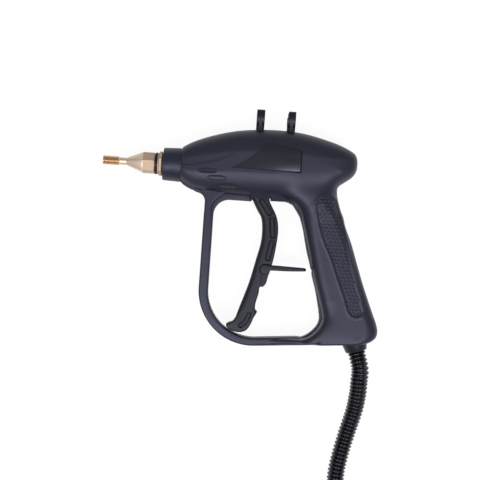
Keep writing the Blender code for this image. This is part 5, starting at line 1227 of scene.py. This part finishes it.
def makeGland():
    look = glandLook
    piece = oneMesh("hoseGland", (turnedShape, glandPoint(0), glandAxis(), look["profile"], roundSteps))
    foot = oneMesh("footSkin", (sheetOver, *look["skinGrid"],
                                gripSkin(-look["skinGap"], *coreShares([look["skinFrom"]]))))
    cut(foot, "neckRoom", (rodShape, glandPoint(-look["roomReach"]), glandPoint(look["roomReach"]),
                           look["neckRoom"]))
    carve(piece, foot)
    outfit(piece, "hoseGland", "clipPlastic", "hose_gland")


makeCasing()
makePin()
makeScrews()
makeNozzle()
makeSeal()
makeHolder()
makeTrigger()
makeLatch()
makeClip("frontTubeClip", "front_tube_clip", clipLook["places"][0], False)
makeClip("rearTubeClip", "rear_tube_clip", clipLook["places"][1], True)
makeGland()
print("nozzle, trigger, latch, clips and gland made")


# CAD nodes that keep their shape get a better finish

carried = {
    "zincSteel": "tube_clamp latch_pin trigger_spring connector_button_spring",
    "brassMetal": "connector_nipple connector_contact_1 connector_contact_2 connector_contact_3",
    "sealRubber": "connector_sleeve connector_o_ring", "wireBlue": "signal_wire_1 signal_wire_2",
    "siliconeTube": "steam_tube", "switchBlack": "microswitch", "plungerRed": "switch_plunger",
    "charcoalPlastic": "connector_body", "clipPlastic": "connector_button",
}
for finish, nodes in carried.items():
    for node in nodes.split():
        materials = frame["nodes"][node].data.materials
        materials.clear()
        materials.append(finishes[finish])


# Springs: node, joint, axis, share of length kept when pressed; here each spring is only given a mesh of its own

springLook = [("trigger_spring", "trigger_pull", 0, 0.57), ("connector_button_spring", "release_button_push", 2, 0.66)]


def squashSprings():
    for name, joint, along, keep in springLook:
        item = frame["nodes"][name]
        corners = [item.matrix_world @ vert.co for vert in item.data.vertices]
        anchor = [sum(c[k] for c in corners) / len(corners) for k in range(3)]
        anchor[along] = min(c[along] for c in corners)
        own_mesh(item)


squashSprings()


# Floor, world and lights

floorLook = {"half": 3.0, "camera": 0.92, "shade": 0.12, "bounce": 0.30}
lampLook = {"aim": (0.0, -0.02, 0.02), "width": 0.28, "height": 0.56, "watts": 4.1,
            "places": {"softboxLeft": (-0.33, -0.37, 0.95), "softboxRight": (0.33, -0.37, 0.95)}}
worldStrength = 0.45


def makeFloor():
    floor = oneMesh("floor", (lambda shape: bmesh.ops.create_grid(
        shape, x_segments=2, y_segments=2, size=floorLook["half"]),))
    material, tree, shader = newMaterial("floorWhite")
    tree.nodes.remove(shader)
    # White where it is seen, itself or in a reflection, and darker as a source of light
    path = addNode(tree, "ShaderNodeLightPath").outputs
    seen = path["Is Camera Ray"]
    for ray in ("Is Glossy Ray", "Is Transmission Ray"):
        seen = addNode(tree, "ShaderNodeMath", {0: seen, 1: path[ray]}, operation="MAXIMUM").outputs[0]
    glow = addNode(tree, "ShaderNodeEmission", {"Color": (1, 1, 1, 1), "Strength": floorLook["camera"]})
    shade, bounce = (addNode(tree, "ShaderNodeBsdfDiffuse", {"Color": (floorLook[key],) * 3 + (1,)})
                     for key in ("shade", "bounce"))
    white = addNode(tree, "ShaderNodeAddShader", {0: glow.outputs[0], 1: shade.outputs[0]})
    mix = addNode(tree, "ShaderNodeMixShader", {0: seen, 1: bounce.outputs[0], 2: white.outputs[0]})
    tree.links.new(mix.outputs[0], tree.nodes["Material Output"].inputs["Surface"])
    floor.data.materials.append(material)


def makeLights():
    look = lampLook
    for name, place in look["places"].items():
        data = bpy.data.lights.new(name, "AREA")
        data.shape = "RECTANGLE"
        data.size, data.size_y, data.energy = look["width"], look["height"], look["watts"]
        lamp = bpy.data.objects.new(name, data)
        lamp.location = place
        lamp.rotation_euler = (Vector(look["aim"]) - Vector(place)).to_track_quat("-Z", "Y").to_euler()
        bpy.context.scene.collection.objects.link(lamp)
    world = bpy.data.worlds.new("studio")
    bpy.context.scene.world = world
    world.use_nodes = True
    back = world.node_tree.nodes["Background"]
    back.inputs["Color"].default_value = (1, 1, 1, 1)
    back.inputs["Strength"].default_value = worldStrength


makeFloor()
makeLights()
bpy.context.scene.view_settings.view_transform = "Standard"
print("stage set")
